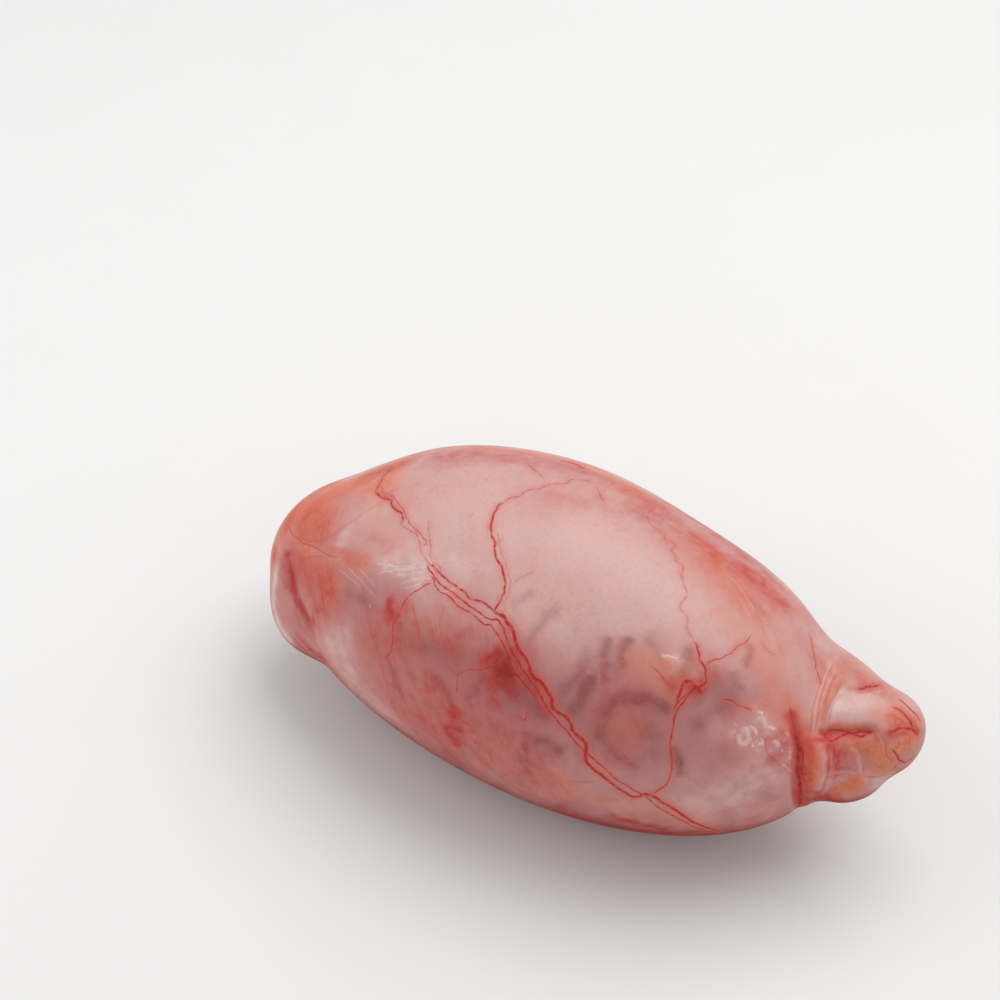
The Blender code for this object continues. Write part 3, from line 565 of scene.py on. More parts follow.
    "left_grey_c": ("grey", 5, 0.35, [(516, 602), (530, 594)]),
    "left_red_a": ("red", 6, 0.5, [(410, 648), (430, 646)]),
    "left_red_b": ("red", 9, 0.4, [(454, 640), (474, 634), (490, 640)]),
    "left_red_c": ("red", 9, 0.5, [(428, 676), (438, 692)]),
    "left_red_d": ("red", 8, 0.6, [(490, 692), (493, 704)]),
    "left_red_e": ("red", 8, 0.35, [(480, 756), (488, 766)]),
    "low_red_patch": ("red", 9, 0.95, [(610, 816), (640, 824), (664, 828)]),
    "crease_fresh": ("fresh", 7, 0.5, [(792, 722), (799, 742), (802, 760), (801, 785), (800, 812)]),
    "cap_fresh": ("fresh", 30, 0.26, [(296, 524), (312, 506), (330, 492)]),
    "groove_crescent": ("red", 10, 0.9, [(298, 598), (305, 611), (313, 624)]),
    "shade_mid": ("shade", 30, 0.95, [(482, 674), (522, 694), (560, 708)]),
    "shade_left": ("shade", 34, 0.85, [(400, 640), (440, 655), (470, 668)]),
    "shade_right": ("shade", 28, 0.75, [(590, 715), (630, 716), (665, 712)]),
    "shade_far": ("shade", 18, 1.1, [(675, 692), (698, 690), (724, 690)]),
    "shade_high": ("shade", 16, 0.45, [(640, 660), (654, 672)]),
    "shade_neck": ("shade", 10, 0.3, [(788, 728), (790, 756)]),
    "shine_left": ("pale", 24, 0.95, [(385, 545), (420, 558), (450, 572)]),
    "shine_low": ("pale", 26, 0.45, [(606, 600), (624, 618), (600, 628)]),
    "face_streak": ("streak", 24, 0.9, [(306, 572), (322, 596)]),
    "lip_red": ("red", 8, 0.7, [(284, 560), (286, 580)]),
    "fold_fan_red": ("red", 8, 0.35, [(330, 552), (350, 558), (360, 562)]),
    "high_rim_red": ("red", 26, 0.55, [(684, 513), (712, 530), (736, 549)]),
    "ridge_rim_red": ("red", 18, 0.45, [(764, 573), (786, 592), (800, 610)]),
    "crease_fat": ("orange", 10, 0.8, [(787, 706), (794, 728)]),
    "sleeve_wash": ("streak", 20, 0.75, [(842, 666), (866, 680), (884, 690)]),
    "tail_wash": ("streak", 22, 0.5, [(850, 750), (880, 760), (900, 745)]),
    "knob_wash": ("red", 12, 0.22, [(898, 712), (912, 728)]),
    "crest_wash": ("red", 26, 0.49, [
        (450, 456), (480, 454), (530, 460), (575, 470), (620, 488), (660, 510)]),
    "stem_wash": ("red", 17, 0.7, [(366, 478), (388, 468), (402, 463)]),
    "stem_fat": ("orange", 11, 1.3, [(392, 466), (388, 474)]),
    "thin_top_pink": ("red", 5, 0.22, [(652, 516), (664, 536), (674, 552), (684, 580)]),
    "trunk_red": ("red", 9, 0.72, [(505, 634), (517, 660), (533, 684), (550, 712)]),
    "shade_trunk": ("shade", 20, 1.0, [(494, 684), (518, 696), (548, 708)]),
    "mid_brown": ("red", 22, 0.28, [(610, 690), (640, 724), (620, 740)]),
    "knot_fresh": ("fresh", 4, 0.6, [(692, 688), (700, 692)]),
    "knot_wash": ("red", 11, 0.55, [(702, 666), (712, 674)]),
    "cell_wash": ("red", 12, 0.6, [(772, 738), (784, 748), (782, 764)]),
    # painted glint: a small white highlight
    "glint_blob": ("pale", 5, 0.8, [(762, 716), (768, 726)]),
    "sleeve_foot_red": ("red", 5, 0.85, [(812, 741), (820, 740), (827, 742)]),
    "roll_foot_red": ("red", 6, 0.9, [(804, 780), (808, 790), (806, 800)]),
    # red under the lower lobe, partly painted shade
    "low_lobe_red": ("red", 6, 1.0, [(816, 794), (826, 799), (840, 802)]),
    "crest_fat_left": ("orange", 12, 0.6, [(340, 480), (372, 468), (405, 458)]),
    "blot_left_core": ("red", 9, 1.0, [(388, 607), (395, 612)]),
    "braid_pale": ("pale", 13, 1.45, [(412, 560), (432, 568), (450, 581)]),
    "blot_tail": ("dark", 9, 0.5, [(520, 675), (532, 686)]),
    # painted shade: a darker lower rim
    "rim_shade": ("dark", 11, 0.52, [(562, 808), (600, 822), (640, 831), (712, 834)]),
    "cell_low_red": ("red", 11, 0.7, [(780, 758), (790, 768)]),
    "tail_foot_red": ("red", 5, 1.2, [(822, 734), (832, 737)]),
    "crest_mark": ("orange", 8, 0.8, [(590, 470), (600, 475), (612, 479)]),
    "high_wide_red": ("red", 32, 0.2, [(640, 515), (690, 550), (740, 580)]),
    "sleeve_high_red": ("red", 9, 0.35, [(816, 662), (828, 674)]),
    "stem_wide_fat": ("orange", 16, 1.0, [(366, 474), (374, 488), (392, 470)]),
    "shade_low": ("shade", 30, 0.45, [(420, 722), (455, 748)]),
    "left_low_red": ("red", 18, 0.34, [(446, 752), (462, 764)]),
    "left_side_red": ("red", 16, 0.36, [(390, 650), (400, 672)]),
    "trunk_low_red": ("red", 10, 0.7, [(488, 684), (492, 699)]),
    "shade_tub": ("shade", 14, 0.5, [(612, 650), (618, 668)]),
    "knot_dark": ("dark", 6, 0.6, [(692, 687), (699, 691)]),
    "glints_side_red": ("red", 22, 0.28, [(722, 722), (752, 712), (772, 700)]),
    "left_mid_red": ("red", 18, 0.5, [(414, 632), (432, 636), (452, 646)]),
    # painted light: lifts the shade of the lower left rim
    "left_rim_light": ("pale", 13, 0.9, [(346, 680), (369, 699), (392, 716)]),
    "trunk_high_red": ("red", 10, 0.45, [(504, 634), (512, 648)]),
    "low_right_shade": ("shade", 14, 0.5, [(578, 782), (600, 792)]),
    "shoulder_wash": ("red", 14, 0.28, [(858, 676), (884, 694)]),
    "neck_red": ("red", 8, 0.75, [(784, 738), (790, 754), (790, 772)]),
    "groove_wash": ("red", 14, 0.42, [(294, 580), (300, 604), (310, 616)]),
    "flank_brown": ("orange", 13, 0.4, [(758, 664), (772, 678)]),
}

# Tones, and how a patch is laid: steps of its curve, and in its half widths how far it reaches and the
# lengths and push of the waves that make its edge uneven
# One tone paints glints, small white highlights of the wet membrane
TONES = ("orange", "red", "mauve", "pale", "grey", "dark", "fibre_glisten", "painted_glints", "streak", "fresh", "shade")
PATCH_STEPS = 4
PATCH_REACH = 3.0
WAVES = 8
WAVE_LENGTHS = (1.6, 6.0)
WAVE_PUSH = 0.32
SEED = 7

# Two pixels of the frame for each way that threads and streaks run over the skin
STREAK_WAYS = {
    "girth": [(405, 620), (432, 705)],
    "tailward": [(700, 545), (790, 640)],
    "cap": [(302, 545), (352, 492)],
    "fibre_glisten": [(380, 566), (430, 572)],
    "fibre_cross": [(342, 568), (376, 604)],
}

# Vessels on the hidden side, in metres: start, heading, length, half width, strength
BACK_TRUNKS = {
    "over_the_back": ((-0.0280, 0.0310, 0.0460), (0.6, 0.3, -0.6), 0.060, 0.00026, 0.9),
    "along_the_duct": ((-0.0400, 0.0270, 0.0360), (1.0, 0.2, -0.1), 0.070, 0.00022, 0.8),
    "under_the_belly": ((0.0250, 0.0100, 0.0010), (-0.9, 0.5, 0.0), 0.045, 0.00024, 0.8),
    "tail_back": ((0.0420, 0.0260, 0.0380), (-0.7, 0.3, -0.6), 0.036, 0.00020, 0.7),
}
TRUNK_WANDER = 0.22
WALK_STEP = 0.0014
WALK_CURVE_STEPS = 3
WALK_WOBBLE = 0.00016
HIDDEN_FACING = 0.0  # most that a hidden place may face the camera

# The thinner vessel beside each: gap, size as a share, and the length, mean and swing of its waves
ECHO_GAP = 0.0011
ECHO_SHARE = 0.7
ECHO_WAVES = (9.0, 13.0)
ECHO_MEAN = 0.45
ECHO_SWING = 0.75

# Their twigs, from a fifth of the way along to three steps from the end, as shares of the trunk's measures
TWIG_COUNT = 4
TWIG_FIRST_PART = 5
TWIG_END_STEPS = 3
TWIG_TURN = 0.7
TWIG_WANDER = 0.35
TWIG_LENGTHS = (0.15, 0.4)
TWIG_WIDTH = 0.6
TWIG_STRENGTH = 0.7

# Patches on the hidden side, mostly round the girth: tone, how many, length of each, half width, strength
BACK_MARKS = (
    ("grey", 46, 0.006, 0.0010, 0.65),
    ("red", 12, 0.004, 0.0022, 0.7),
    ("orange", 14, 0.010, 0.0030, 0.6),
    ("pale", 12, 0.010, 0.0050, 0.5),
    ("mauve", 10, 0.006, 0.0030, 0.5),
)
BACK_MARK_WAY = (0.3, 1.0, 1.0)
BACK_MARK_SIZES = (0.6, 1.3)
BACK_MARK_STRENGTHS = (0.5, 1.0)

# Colours
PINK = (0.64, 0.41, 0.385, 1.0)
# Painted shade: the darker mauve of the flesh where the skin faces down
DOWNWARD_SHADE = (0.575, 0.225, 0.208, 1.0)
SALMON = (0.62, 0.175, 0.140, 1.0)
ROSE = (0.62, 0.33, 0.31, 1.0)
CREAM = (0.70, 0.46, 0.41, 1.0)
PALE = (0.72, 0.47, 0.44, 1.0)
LILAC = (0.42, 0.165, 0.175, 1.0)
GREY = (0.25, 0.070, 0.076, 1.0)
RUST = (0.66, 0.145, 0.078, 1.0)
GOLD = (0.79, 0.270, 0.135, 1.0)
FRESH = (0.78, 0.085, 0.045, 1.0)
# Blood red, also the red of painted shade along the lower rim and under the lower lobe
BLOOD_AND_SHADE_RED = (0.50, 0.020, 0.013, 1.0)
WHITE = (0.86, 0.68, 0.64, 1.0)
FLUSH = (0.64, 0.14, 0.11, 1.0)
VEIN = (0.50, 0.014, 0.010, 1.0)
SEAM = (0.50, 0.032, 0.020, 1.0)
SHADE = (0.56, 0.44, 0.45, 1.0)
# Clot red, also the red of painted shade along the lower rim
CLOT_AND_RIM_SHADE = (0.28, 0.012, 0.010, 1.0)
# Dark red painted shade for the underside
UNDERSIDE_SHADE = (0.24, 0.032, 0.027, 1.0)
FLOOR_PALE = (0.86, 0.86, 0.86, 1.0)
FLOOR_PALER = (0.88, 0.88, 0.88, 1.0)
SKY = (1.0, 1.0, 1.0, 1.0)

# Textures: scale to a metre, detail, distortion
TEXTURES = {
    "broad": (60.0, 2.0, 0.5),
    "cloud": (120.0, 2.0, 0.8),
    "middle": (190.0, 3.0, 0.6),
    "small": (430.0, 2.0, 0.5),
    "fine": (1100.0, 2.0, 0.3),
    "grain": (2600.0, 1.0, 0.0),
}
TEXTURE_SPAN = (0.28, 0.72)
TEXTURE_MEAN = 0.5

# Streaks, by the way that they run: length, width and depth of one in metres, distortion
STREAKS = {
    "girth": ((0.0100, 0.0022, 0.0100), 1.1),
    "tailward": ((0.0110, 0.0024, 0.0060), 1.1),
    "cap": ((0.0100, 0.0018, 0.0060), 0.9),
}
STREAK_DETAIL = 3.0
STREAK_ROUGHNESS = 0.6

# Washes of colour, each a tone made uneven: how uneven, how strong, and the share of each texture in it
WASHES = {
    "shade": (0.35, 1.0, {"middle": 0.5, "broad": 0.5}),
    "pale": (0.3, 0.75, {"middle": 1.0}),
    "streak": (0.55, 0.75, {"girth": 0.3, "middle": 0.4, "small": 0.3}),
    "mauve": (0.4, 0.70, {"broad": 0.5, "small": 0.5}),
    "grey": (0.45, 0.78, {"middle": 0.5, "small": 0.5}),
    "orange": (0.5, 0.85, {"tailward": 0.333, "cap": 0.333, "middle": 0.333}),
    "red": (0.55, 0.92, {"girth": 0.3, "tailward": 0.2, "small": 0.5}),
    "fresh": (0.4, 0.85, {"small": 1.0}),
    "dark": (0.4, 0.80, {"small": 1.0}),
}
FAT_SHARES = {"fine": 0.6, "small": 0.4}

# Painted shade: darker mauve flesh where the skin faces down, and a dark red painted shade lower still: how
# far the skin faces up where each starts and is full, and how far textures sway that. Pale places lift some
# of the dark red painted shade
UNDER_SPAN = (1.0, 0.35)
UNDER_SWAY = {"broad": 0.30, "middle": 0.12}
UNDERSIDE_SHADE_SPAN = (-0.02, -0.58)
UNDERSIDE_SHADE_SWAY = {"middle": 0.12}
UNDERSIDE_SHADE_SHARE = 0.94
PALE_LIFTS_SHADE = 0.5
PALE_LIFTS_SHADE_MOST = 0.6

# Mottling: which textures make the red spots and the lilac flecks, and where these start and are full
SPOT_SHARES = {"girth": 0.4, "small": 0.3, "fine": 0.3}
SPOT_SPAN = (0.50, 0.80)
FLECK_SHARES = {"small": 0.4, "fine": 0.4, "grain": 0.2}
FLECK_SPAN = (0.48, 0.20)

# How strongly each plain layer of colour shows
ROSE_SHARE = 0.50
CREAM_SHARE = 0.45
CREAM_STREAK_SHARE = 0.35
SALMON_ABOVE = 0.15
SALMON_BELOW = 0.42
WHITE_SHARE = 0.7
SPOT_SHARE = 0.46
FLECK_SHARE = 0.60
CLOUD_SHARE = 0.50
GRAIN_SHARE = 0.22
FIBRE_SHARE = 0.42
THREAD_SHARE = 0.55
HAIR_SHARE = 0.45
FLUSH_SHARE = 0.50
FLUSH_GROUND = 0.5
FLUSH_MOST = 0.8
RIDGE_SHARE = 0.55
RIDGE_MOST = 0.8
SEAM_SHARE = 0.70
SEAM_MOST = 0.9
VEIN_MOST = 0.98
GLINT_SHARE = 0.40
GLINT_MOST = 0.85
SPECK_SHARE = 0.6
SPECK_BRIGHT_GROUND = 0.2

# Fibres, partly painted glisten: length, width and depth of a thread, and for each way half its width in the
# noise and its strength
THREAD_SIZE = (0.0090, 0.00060, 0.0060)
THREADS = {"fibre_glisten": (0.040, 1.0), "fibre_cross": (0.022, 0.7)}
THREAD_DETAIL = 1.0
THREAD_DISTORTION = 0.12
THREAD_GROUND = 0.3
THREAD_SPAN = (0.20, 0.85)
HAIR_NOISE = (150.0, 2.0, 1.0)
HAIR_WIDTH = 0.012

# Beads of blood in the vessels, and specks of the painted glints (small white highlights of the wet
# membrane):
# spans of the textures that make them
BEAD_SPAN = (0.10, 0.80, 0.55, 1.1)
GLINT_SCALE = 900.0
GLINT_SPAN = (0.36, 0.14)
SPECK_GROUND = 0.35
SPECK_SPAN = (0.25, 0.75)

# Gloss and relief. Heights are shares of the depth in metres
ROUGH = 0.46
ROUGH_SHARES = {
    "middle": 0.12, "fine": 0.12, "specks": -0.2, "painted_glints": -0.15, "vessel": -0.05, "underside": 0.30,
}
ROUGH_MOST = 0.95
UNDERSIDE_SPAN = (0.10, -0.40)
COAT = 0.13
SWELL_SHARES = {"full_vessel": 0.5, "ridge": 0.35}
SWELL_DEPTH = 0.00012
SWELL_STRENGTH = 0.6
RELIEF_SHARES = {"middle": 0.40, "small": 0.25, "fine": 0.14, "grain": 0.05, "thread": 0.15, "specks": 0.5}
RELIEF_DEPTH = 0.00022
RELIEF_STRENGTH = 0.5
MEMBRANE = {
    "Subsurface Weight": 0.30,
    "Subsurface Radius": (1.0, 0.35, 0.22),
    "Subsurface Scale": 0.0010,
    "Specular IOR Level": 0.30,
    "Coat Roughness": 0.30,
    "Coat IOR": 1.38,
}

# Floor and lights
FLOOR_HALF = 6.0
FLOOR_POINTS = 3
FLOOR_NOISE = (30.0, 2.0)
FLOOR_FINISH = {"Roughness": 0.75, "Specular IOR Level": 0.15}
WORLD_LIGHT = 0.58

# Name, place, what it points at, width, height, power, colour
LAMPS = (
    ("overhead", (0.12, 0.26, 0.74), (0.0, 0.0, 0.03), 0.70, 0.60, 3.2, (1.0, 0.99, 0.97)),
    ("fill", (-0.55, -0.25, 0.35), (0.0, 0.0, 0.03), 0.50, 0.50, 0.8, (1.0, 1.0, 1.0)),
)


def smooth_min(first, second, blend):
    """The lesser of two distances, rounded where they meet."""
    share = np.clip(0.5 + 0.5 * (second - first) / blend, 0.0, 1.0)
    return second + (first - second) * share - blend * share * (1.0 - share)


def smooth_step(start, end, value):
    """0 up to start, 1 from end on, and a smooth rise between them."""
    share = np.clip((value - start) / (end - start), 0.0, 1.0)
    return share * share * (3.0 - 2.0 * share)


def bell(distance, width):
    """1 at no distance, falling as a bell curve of this width."""
    return np.exp(-((distance / width) ** 2))


def body_distance(points):
    """About the distance to the egg: its level (x / length)^2 + radius^power - 1 over that level's slope."""
    x = points[:, 0]
    length = np.where(x < 0.0, BODY_HEAD_LENGTH, BODY_TAIL_LENGTH)
    fullness = smooth_step(-FULLNESS_BLEND, FULLNESS_BLEND, x)
    power = 2.0 / (HEAD_FULLNESS + (TAIL_FULLNESS - HEAD_FULLNESS) * fullness)
    bow = BODY_BOW * (BODY_BOW_REST - (x / BODY_BOW_LENGTH) ** 2)
    across = (points[:, 1] - bow) / BODY_HALF_WIDTH
    upward = (points[:, 2] - BODY_CENTRE_HEIGHT) / BODY_HALF_HEIGHT
    radius = np.hypot(across, upward) + LEAST_RADIUS
    level = (x / length) ** 2 + radius**power - 1.0
    slope_along = 2.0 * x / length**2
    slope_out = power * radius ** (power - 1.0) / BODY_HALF_WIDTH
    return level / (np.hypot(slope_along, slope_out) + LEAST_SLOPE)


def ellipsoid_distance(points, centre, radii, turn, lift):
    """About the distance to an ellipsoid, turned about Z and with its +X end lifted."""
    turn, lift = np.radians((turn, lift))
    offset = points - np.array(centre)
    ahead = offset[:, 0] * np.cos(turn) + offset[:, 1] * np.sin(turn)
    aside = offset[:, 1] * np.cos(turn) - offset[:, 0] * np.sin(turn)
    along = ahead * np.cos(lift) + offset[:, 2] * np.sin(lift)
    upward = offset[:, 2] * np.cos(lift) - ahead * np.sin(lift)
    local = np.stack([along, aside, upward], axis=1) / np.array(radii)
    level = np.linalg.norm(local, axis=1)
    slope = np.linalg.norm(local / np.array(radii), axis=1) + LEAST_SLOPE
    return level * (level - 1.0) / slope


def curve_through(knots, steps):
    """Points of a Catmull-Rom curve through the knots, with this many steps between two."""
    knots = np.array(knots, float)
    if len(knots) < 2:
        return knots
    padded = np.vstack([2 * knots[0] - knots[1], knots, 2 * knots[-1] - knots[-2]])
    share = np.linspace(0.0, 1.0, steps, endpoint=False)[:, None]
    spans = []
    for before, start, end, after in zip(padded, padded[1:], padded[2:], padded[3:]):
        bend = 2 * before - 5 * start + 4 * end - after
        twist = 3 * start - before - 3 * end + after
        spans.append(start + 0.5 * share * (end - before + share * (bend + share * twist)))
    return np.vstack([*spans, knots[-1:]])


def fold_height(points, width, rise, knots):
    """Height of a groove or ridge: a bell across a curve, fading towards both of its ends."""
    route = curve_through(knots, FOLD_STEPS)
    distance = np.full(len(points), np.inf)
    place = np.zeros(len(points))
    for number, (start, end) in enumerate(zip(route, route[1:])):
        span = end - start
        share = np.clip((points - start) @ span / (span @ span), 0.0, 1.0)
        here = np.linalg.norm(points - start - share[:, None] * span, axis=1)
        place = np.where(here < distance, (number + share) / (len(route) - 1), place)
        distance = np.minimum(distance, here)
    fade = smooth_step(0.0, FOLD_TAPER, place) * smooth_step(1.0, 1.0 - FOLD_TAPER, place)
    return rise * fade * bell(distance, width)


def skin_distance(points):
    """About the distance to the smooth skin: egg and hollows, then every lobe, by the smooth lesser."""
    distance = body_distance(points)
    for centre, radius, depth in HOLLOWS.values():
        distance += depth * bell(np.linalg.norm(points - np.array(centre), axis=1), radius)
    for centre, radii, turn, lift, blend in LOBES.values():
        lobe = ellipsoid_distance(points, centre, radii, turn, lift)
        distance = smooth_min(distance, lobe, blend)
    return distance


def skin_normals(points):
    """Which way the smooth skin faces: the slope of its distance formula."""
    steps = SLOPE_STEP * np.eye(3)
    slope = [skin_distance(points + step) - skin_distance(points - step) for step in steps]
    slope = np.stack(slope, axis=1)
    return slope / np.linalg.norm(slope, axis=1)[:, None]


def core_point(x):
    """The point of the core line at this X."""
    core = np.array(CORE)
    return np.stack([np.interp(x, core[:, 0], core[:, k]) for k in range(3)], axis=1)


def rays_of(row, round_angle, row_knots):
    """Where a ray starts on the core, and its direction, for a row and an angle round the core."""
    x = np.interp(row, row_knots, CORE_KNOTS)
    lean = np.radians(np.interp(row, row_knots, LEAN_KNOTS))[:, None]
    ahead = core_point(x + TANGENT_STEP) - core_point(x - TANGENT_STEP)
    ahead /= np.linalg.norm(ahead, axis=1)[:, None]
    aside = np.cross((0.0, 0.0, 1.0), ahead)
    aside /= np.linalg.norm(aside, axis=1)[:, None]
    upward = np.cross(ahead, aside)
    outward = np.cos(round_angle)[:, None] * upward + np.sin(round_angle)[:, None] * aside
    return core_point(x), np.cos(lean) * outward + np.sin(lean) * ahead


def meet_skin(starts, directions):
    """Walks each ray in from outside by a share of the distance that is still left to the skin."""
    reach = np.full((len(starts), 1), RAY_START)
    for _ in range(RAY_STEPS):
        reach -= RAY_SHARE * skin_distance(starts + directions * reach)[:, None]
    return starts + directions * reach


def skin_points(row_knots, sides, crowding):
    """The skin on a grid: a pole, rows of points round the core, and the other pole.

    An angle is t - crowding * sin(t) round from the side that shows, so points crowd there.
    """
    rows = np.arange(1, row_knots[-1])
    round_step = np.linspace(-np.pi, np.pi, sides, endpoint=False)
    angles = SHOWN_ANGLE + round_step - crowding * np.sin(round_step)
    row = np.concatenate([[0], np.repeat(rows, sides), [row_knots[-1]]]).astype(float)
    angle = np.concatenate([[0.0], np.tile(angles, len(rows)), [0.0]])
    smooth = meet_skin(*rays_of(row, angle, row_knots))
    relief = sum(fold_height(smooth, *fold) for fold in FOLDS.values())
    points = smooth + relief[:, None] * skin_normals(smooth)
    points[:, 2] = -smooth_min(-points[:, 2], np.zeros(len(points)), PRESS_ROUNDING)
    return points


def grid_faces(rows, sides):
    """Quads between the rows of points, and a fan of triangles at each pole."""
    ring = np.arange(sides)
    after = np.roll(ring, -1)
    head_fan = np.stack([np.zeros(sides, int), 1 + ring, 1 + after], axis=1)
    last = 1 + (rows - 2) * sides
    tail_fan = np.stack([last + after, last + ring, np.full(sides, last + sides)], axis=1)
    start = 1 + np.arange(rows - 2)[:, None] * sides
    low, high = start + ring, start + after
    quads = np.stack([low, low + sides, high + sides, high], axis=-1).reshape(-1, 4)
    return head_fan, quads, tail_fan


def new_mesh(name, points, face_groups):
    """A mesh object from arrays of points and of faces, shaded smooth."""
    mesh = bpy.data.meshes.new(name)
    corners = np.concatenate([group.ravel() for group in face_groups])
    sizes = np.concatenate([np.full(len(group), group.shape[1]) for group in face_groups])
    mesh.vertices.add(len(points))
    mesh.vertices.foreach_set("co", points.astype(np.float32).ravel())
    mesh.loops.add(len(corners))
    mesh.loops.foreach_set("vertex_index", corners.astype(np.int32))
    mesh.polygons.add(len(sizes))
    mesh.polygons.foreach_set("loop_start", (np.cumsum(sizes) - sizes).astype(np.int32))
    mesh.update(calc_edges=True)
    mesh.validate()
    mesh.shade_smooth()
    made = bpy.data.objects.new(name, mesh)
    bpy.context.scene.collection.objects.link(made)
    return made


# Marks on the skin


def camera_axes():
    """The camera's right, up and back directions, from its turn and lift."""
    turn, lift = np.radians((CAMERA_TURN, CAMERA_LIFT))
    back = np.array([np.sin(turn) * np.cos(lift), -np.cos(turn) * np.cos(lift), np.sin(lift)])
    right = np.array([np.cos(turn), np.sin(turn), 0.0])
    return right, np.cross(back, right), back


def cast_on_skin(pixels, tree, camera_place):
    """The points of the skin that the camera sees at these pixels, without those that miss it."""
    right, up, back = camera_axes()
    scale = FRAME_PIXELS * CAMERA_LENS / SENSOR
    offset = (np.array(pixels, float) - FRAME_PIXELS / 2) / scale
    directions = offset[:, :1] * right - offset[:, 1:] * up - back
    hits = [tree.ray_cast(camera_place, Vector(direction))[0] for direction in directions]
    return np.array([hit[:] for hit in hits if hit is not None])


def nearest_on_skin(place, tree):
    """The point of the skin nearest to a place, and which way the skin faces there."""
    return tree.find_nearest(Vector(place))[:2]


def walk_on_skin(start, heading, length, wander, tree, random):
    """A path over the hidden skin: equal steps, each laid back on it, with a heading that drifts.

    It stops where it would come into the camera's view.
    """
    back = Vector(camera_axes()[2])
    place, normal = nearest_on_skin(start, tree)
    heading = Vector(heading)
    path = [place]
    for _ in range(int(length / WALK_STEP)):
        heading = (heading - normal * heading.dot(normal)).normalized()
        heading = Matrix.Rotation(random.normal(0.0, wander), 3, normal) @ heading
        place, normal = nearest_on_skin(place + heading * WALK_STEP, tree)
        if normal.dot(back) > HIDDEN_FACING:
            break
        path.append(place)
    return np.array([place[:] for place in path])


def path_beside(path, tree, random):
    """A path along the skin near another one: the gap swells, shrinks and at times crosses over."""
    ahead = np.gradient(path, axis=0)
    wave, start = random.uniform(*ECHO_WAVES), random.uniform(0.0, 2 * np.pi)
    swell = np.sin(2 * np.pi * np.arange(len(path)) / wave + start)
    beside = []
    for point, way, gap in zip(path, ahead, ECHO_GAP * (ECHO_MEAN + ECHO_SWING * swell)):
        normal = nearest_on_skin(point, tree)[1]
        side = normal.cross(Vector(way)).normalized()
        beside.append(nearest_on_skin(Vector(point) + side * gap, tree)[0][:])
    return np.array(beside)


def wobbled(path, size, random):
    """The path with every point but its two ends pushed a little at random."""
    path[1:-1] += random.normal(0.0, size, path[1:-1].shape)
    return path


def nearest_on_route(points, route):
    """For each point: distance to the route, nearest place along it, the gap and the route's direction."""
    if len(route) < 2:
        gap = points - route[0]
        return np.linalg.norm(gap, axis=1), np.zeros(len(points)), gap, np.zeros_like(points)
    spans = np.diff(route, axis=0)
    lengths = np.linalg.norm(spans, axis=1)
    before = np.concatenate([[0.0], np.cumsum(lengths)])
    distance = np.full(len(points), np.inf)
    place = np.zeros(len(points))
    gap = np.zeros_like(points)
    ahead = np.zeros_like(points)
    for start, span, length, run in zip(route, spans, lengths, before):
        if length == 0.0:
            continue
        share = np.clip((points - start) @ span / length**2, 0.0, 1.0)
        apart = points - start - share[:, None] * span
        here = np.linalg.norm(apart, axis=1)
        closer = here < distance
        distance[closer] = here[closer]
        place[closer] = run + share[closer] * length
        gap[closer] = apart[closer]
        ahead[closer] = span / length
    return distance, place, gap, ahead


def waver(points, size, random):
    """A smooth push of each point, for uneven edges: a few waves, each with its own way, length and push."""
    ways = random.normal(0.0, 1.0, (WAVES, 3))
    lengths = size * random.uniform(*WAVE_LENGTHS, (WAVES, 1))
    ways *= 2 * np.pi / lengths / np.linalg.norm(ways, axis=1)[:, None]
    pushes = random.normal(0.0, size * WAVE_PUSH / WAVES**0.5, (WAVES, 3))
    return np.sin(points @ ways.T + random.uniform(0.0, 2 * np.pi, WAVES)) @ pushes


def points_near(points, route, reach):
    """The numbers of the points inside the route's box, grown by a reach."""
    low, high = route.min(axis=0) - reach, route.max(axis=0) + reach
    return np.flatnonzero(((points > low) & (points < high)).all(axis=1))


class Lines:
    """Thin lines of one kind on the skin, kept so that they stay thin between two points of the mesh.

    A point keeps how far across its nearest line it lies, in half widths and with a sign, and how strongly
    the line shows there. Lines that come near each other go to separate layers, where there are enough.
    """

    def __init__(self, points, normals, layers):
        self.points = points
        self.normals = normals
        self.across = np.full((len(points), layers), FAR_ACROSS)
        self.strength = np.zeros((len(points), layers))
        self.distance = np.full((len(points), layers), np.inf)
        self.taken = [np.full((1, 3), np.inf) for _ in range(layers)]

    def free_layer(self, route):
        """The first layer whose lines all stay clear of this one, or else the one that is clearest."""
        gaps = [np.linalg.norm(route[:, None] - taken[None], axis=2).min() for taken in self.taken]
        clear = [number for number, gap in enumerate(gaps) if gap > LAYER_GAP]
        return clear[0] if clear else int(np.argmax(gaps))

    def add(self, route, half_width, strength):
        """Lays a line along a route. Gives the points near it, their distances and how it fades there."""
        layer = self.free_layer(route)
        self.taken[layer] = np.vstack([self.taken[layer], route])
        near = points_near(self.points, route, LINE_REACH)
        distance, place, gap, ahead = nearest_on_route(self.points[near], route)
        length = np.linalg.norm(np.diff(route, axis=0), axis=1).sum()
        fade = smooth_step(0.0, LINE_TAPER, np.minimum(place, length - place))
        side = np.sign((gap * np.cross(ahead, self.normals[near])).sum(axis=1))
        across = side * distance / (half_width * (LINE_TIP + (1.0 - LINE_TIP) * fade))
        wins = distance < self.distance[near, layer]
        chosen = near[wins]
        self.distance[chosen, layer] = distance[wins]
        self.across[chosen, layer] = np.clip(across[wins], -FAR_ACROSS, FAR_ACROSS)
        gate = strength * fade * smooth_step(GATE_END, GATE_FULL, distance)
        self.strength[chosen, layer] = gate[wins]
        return near, distance, fade


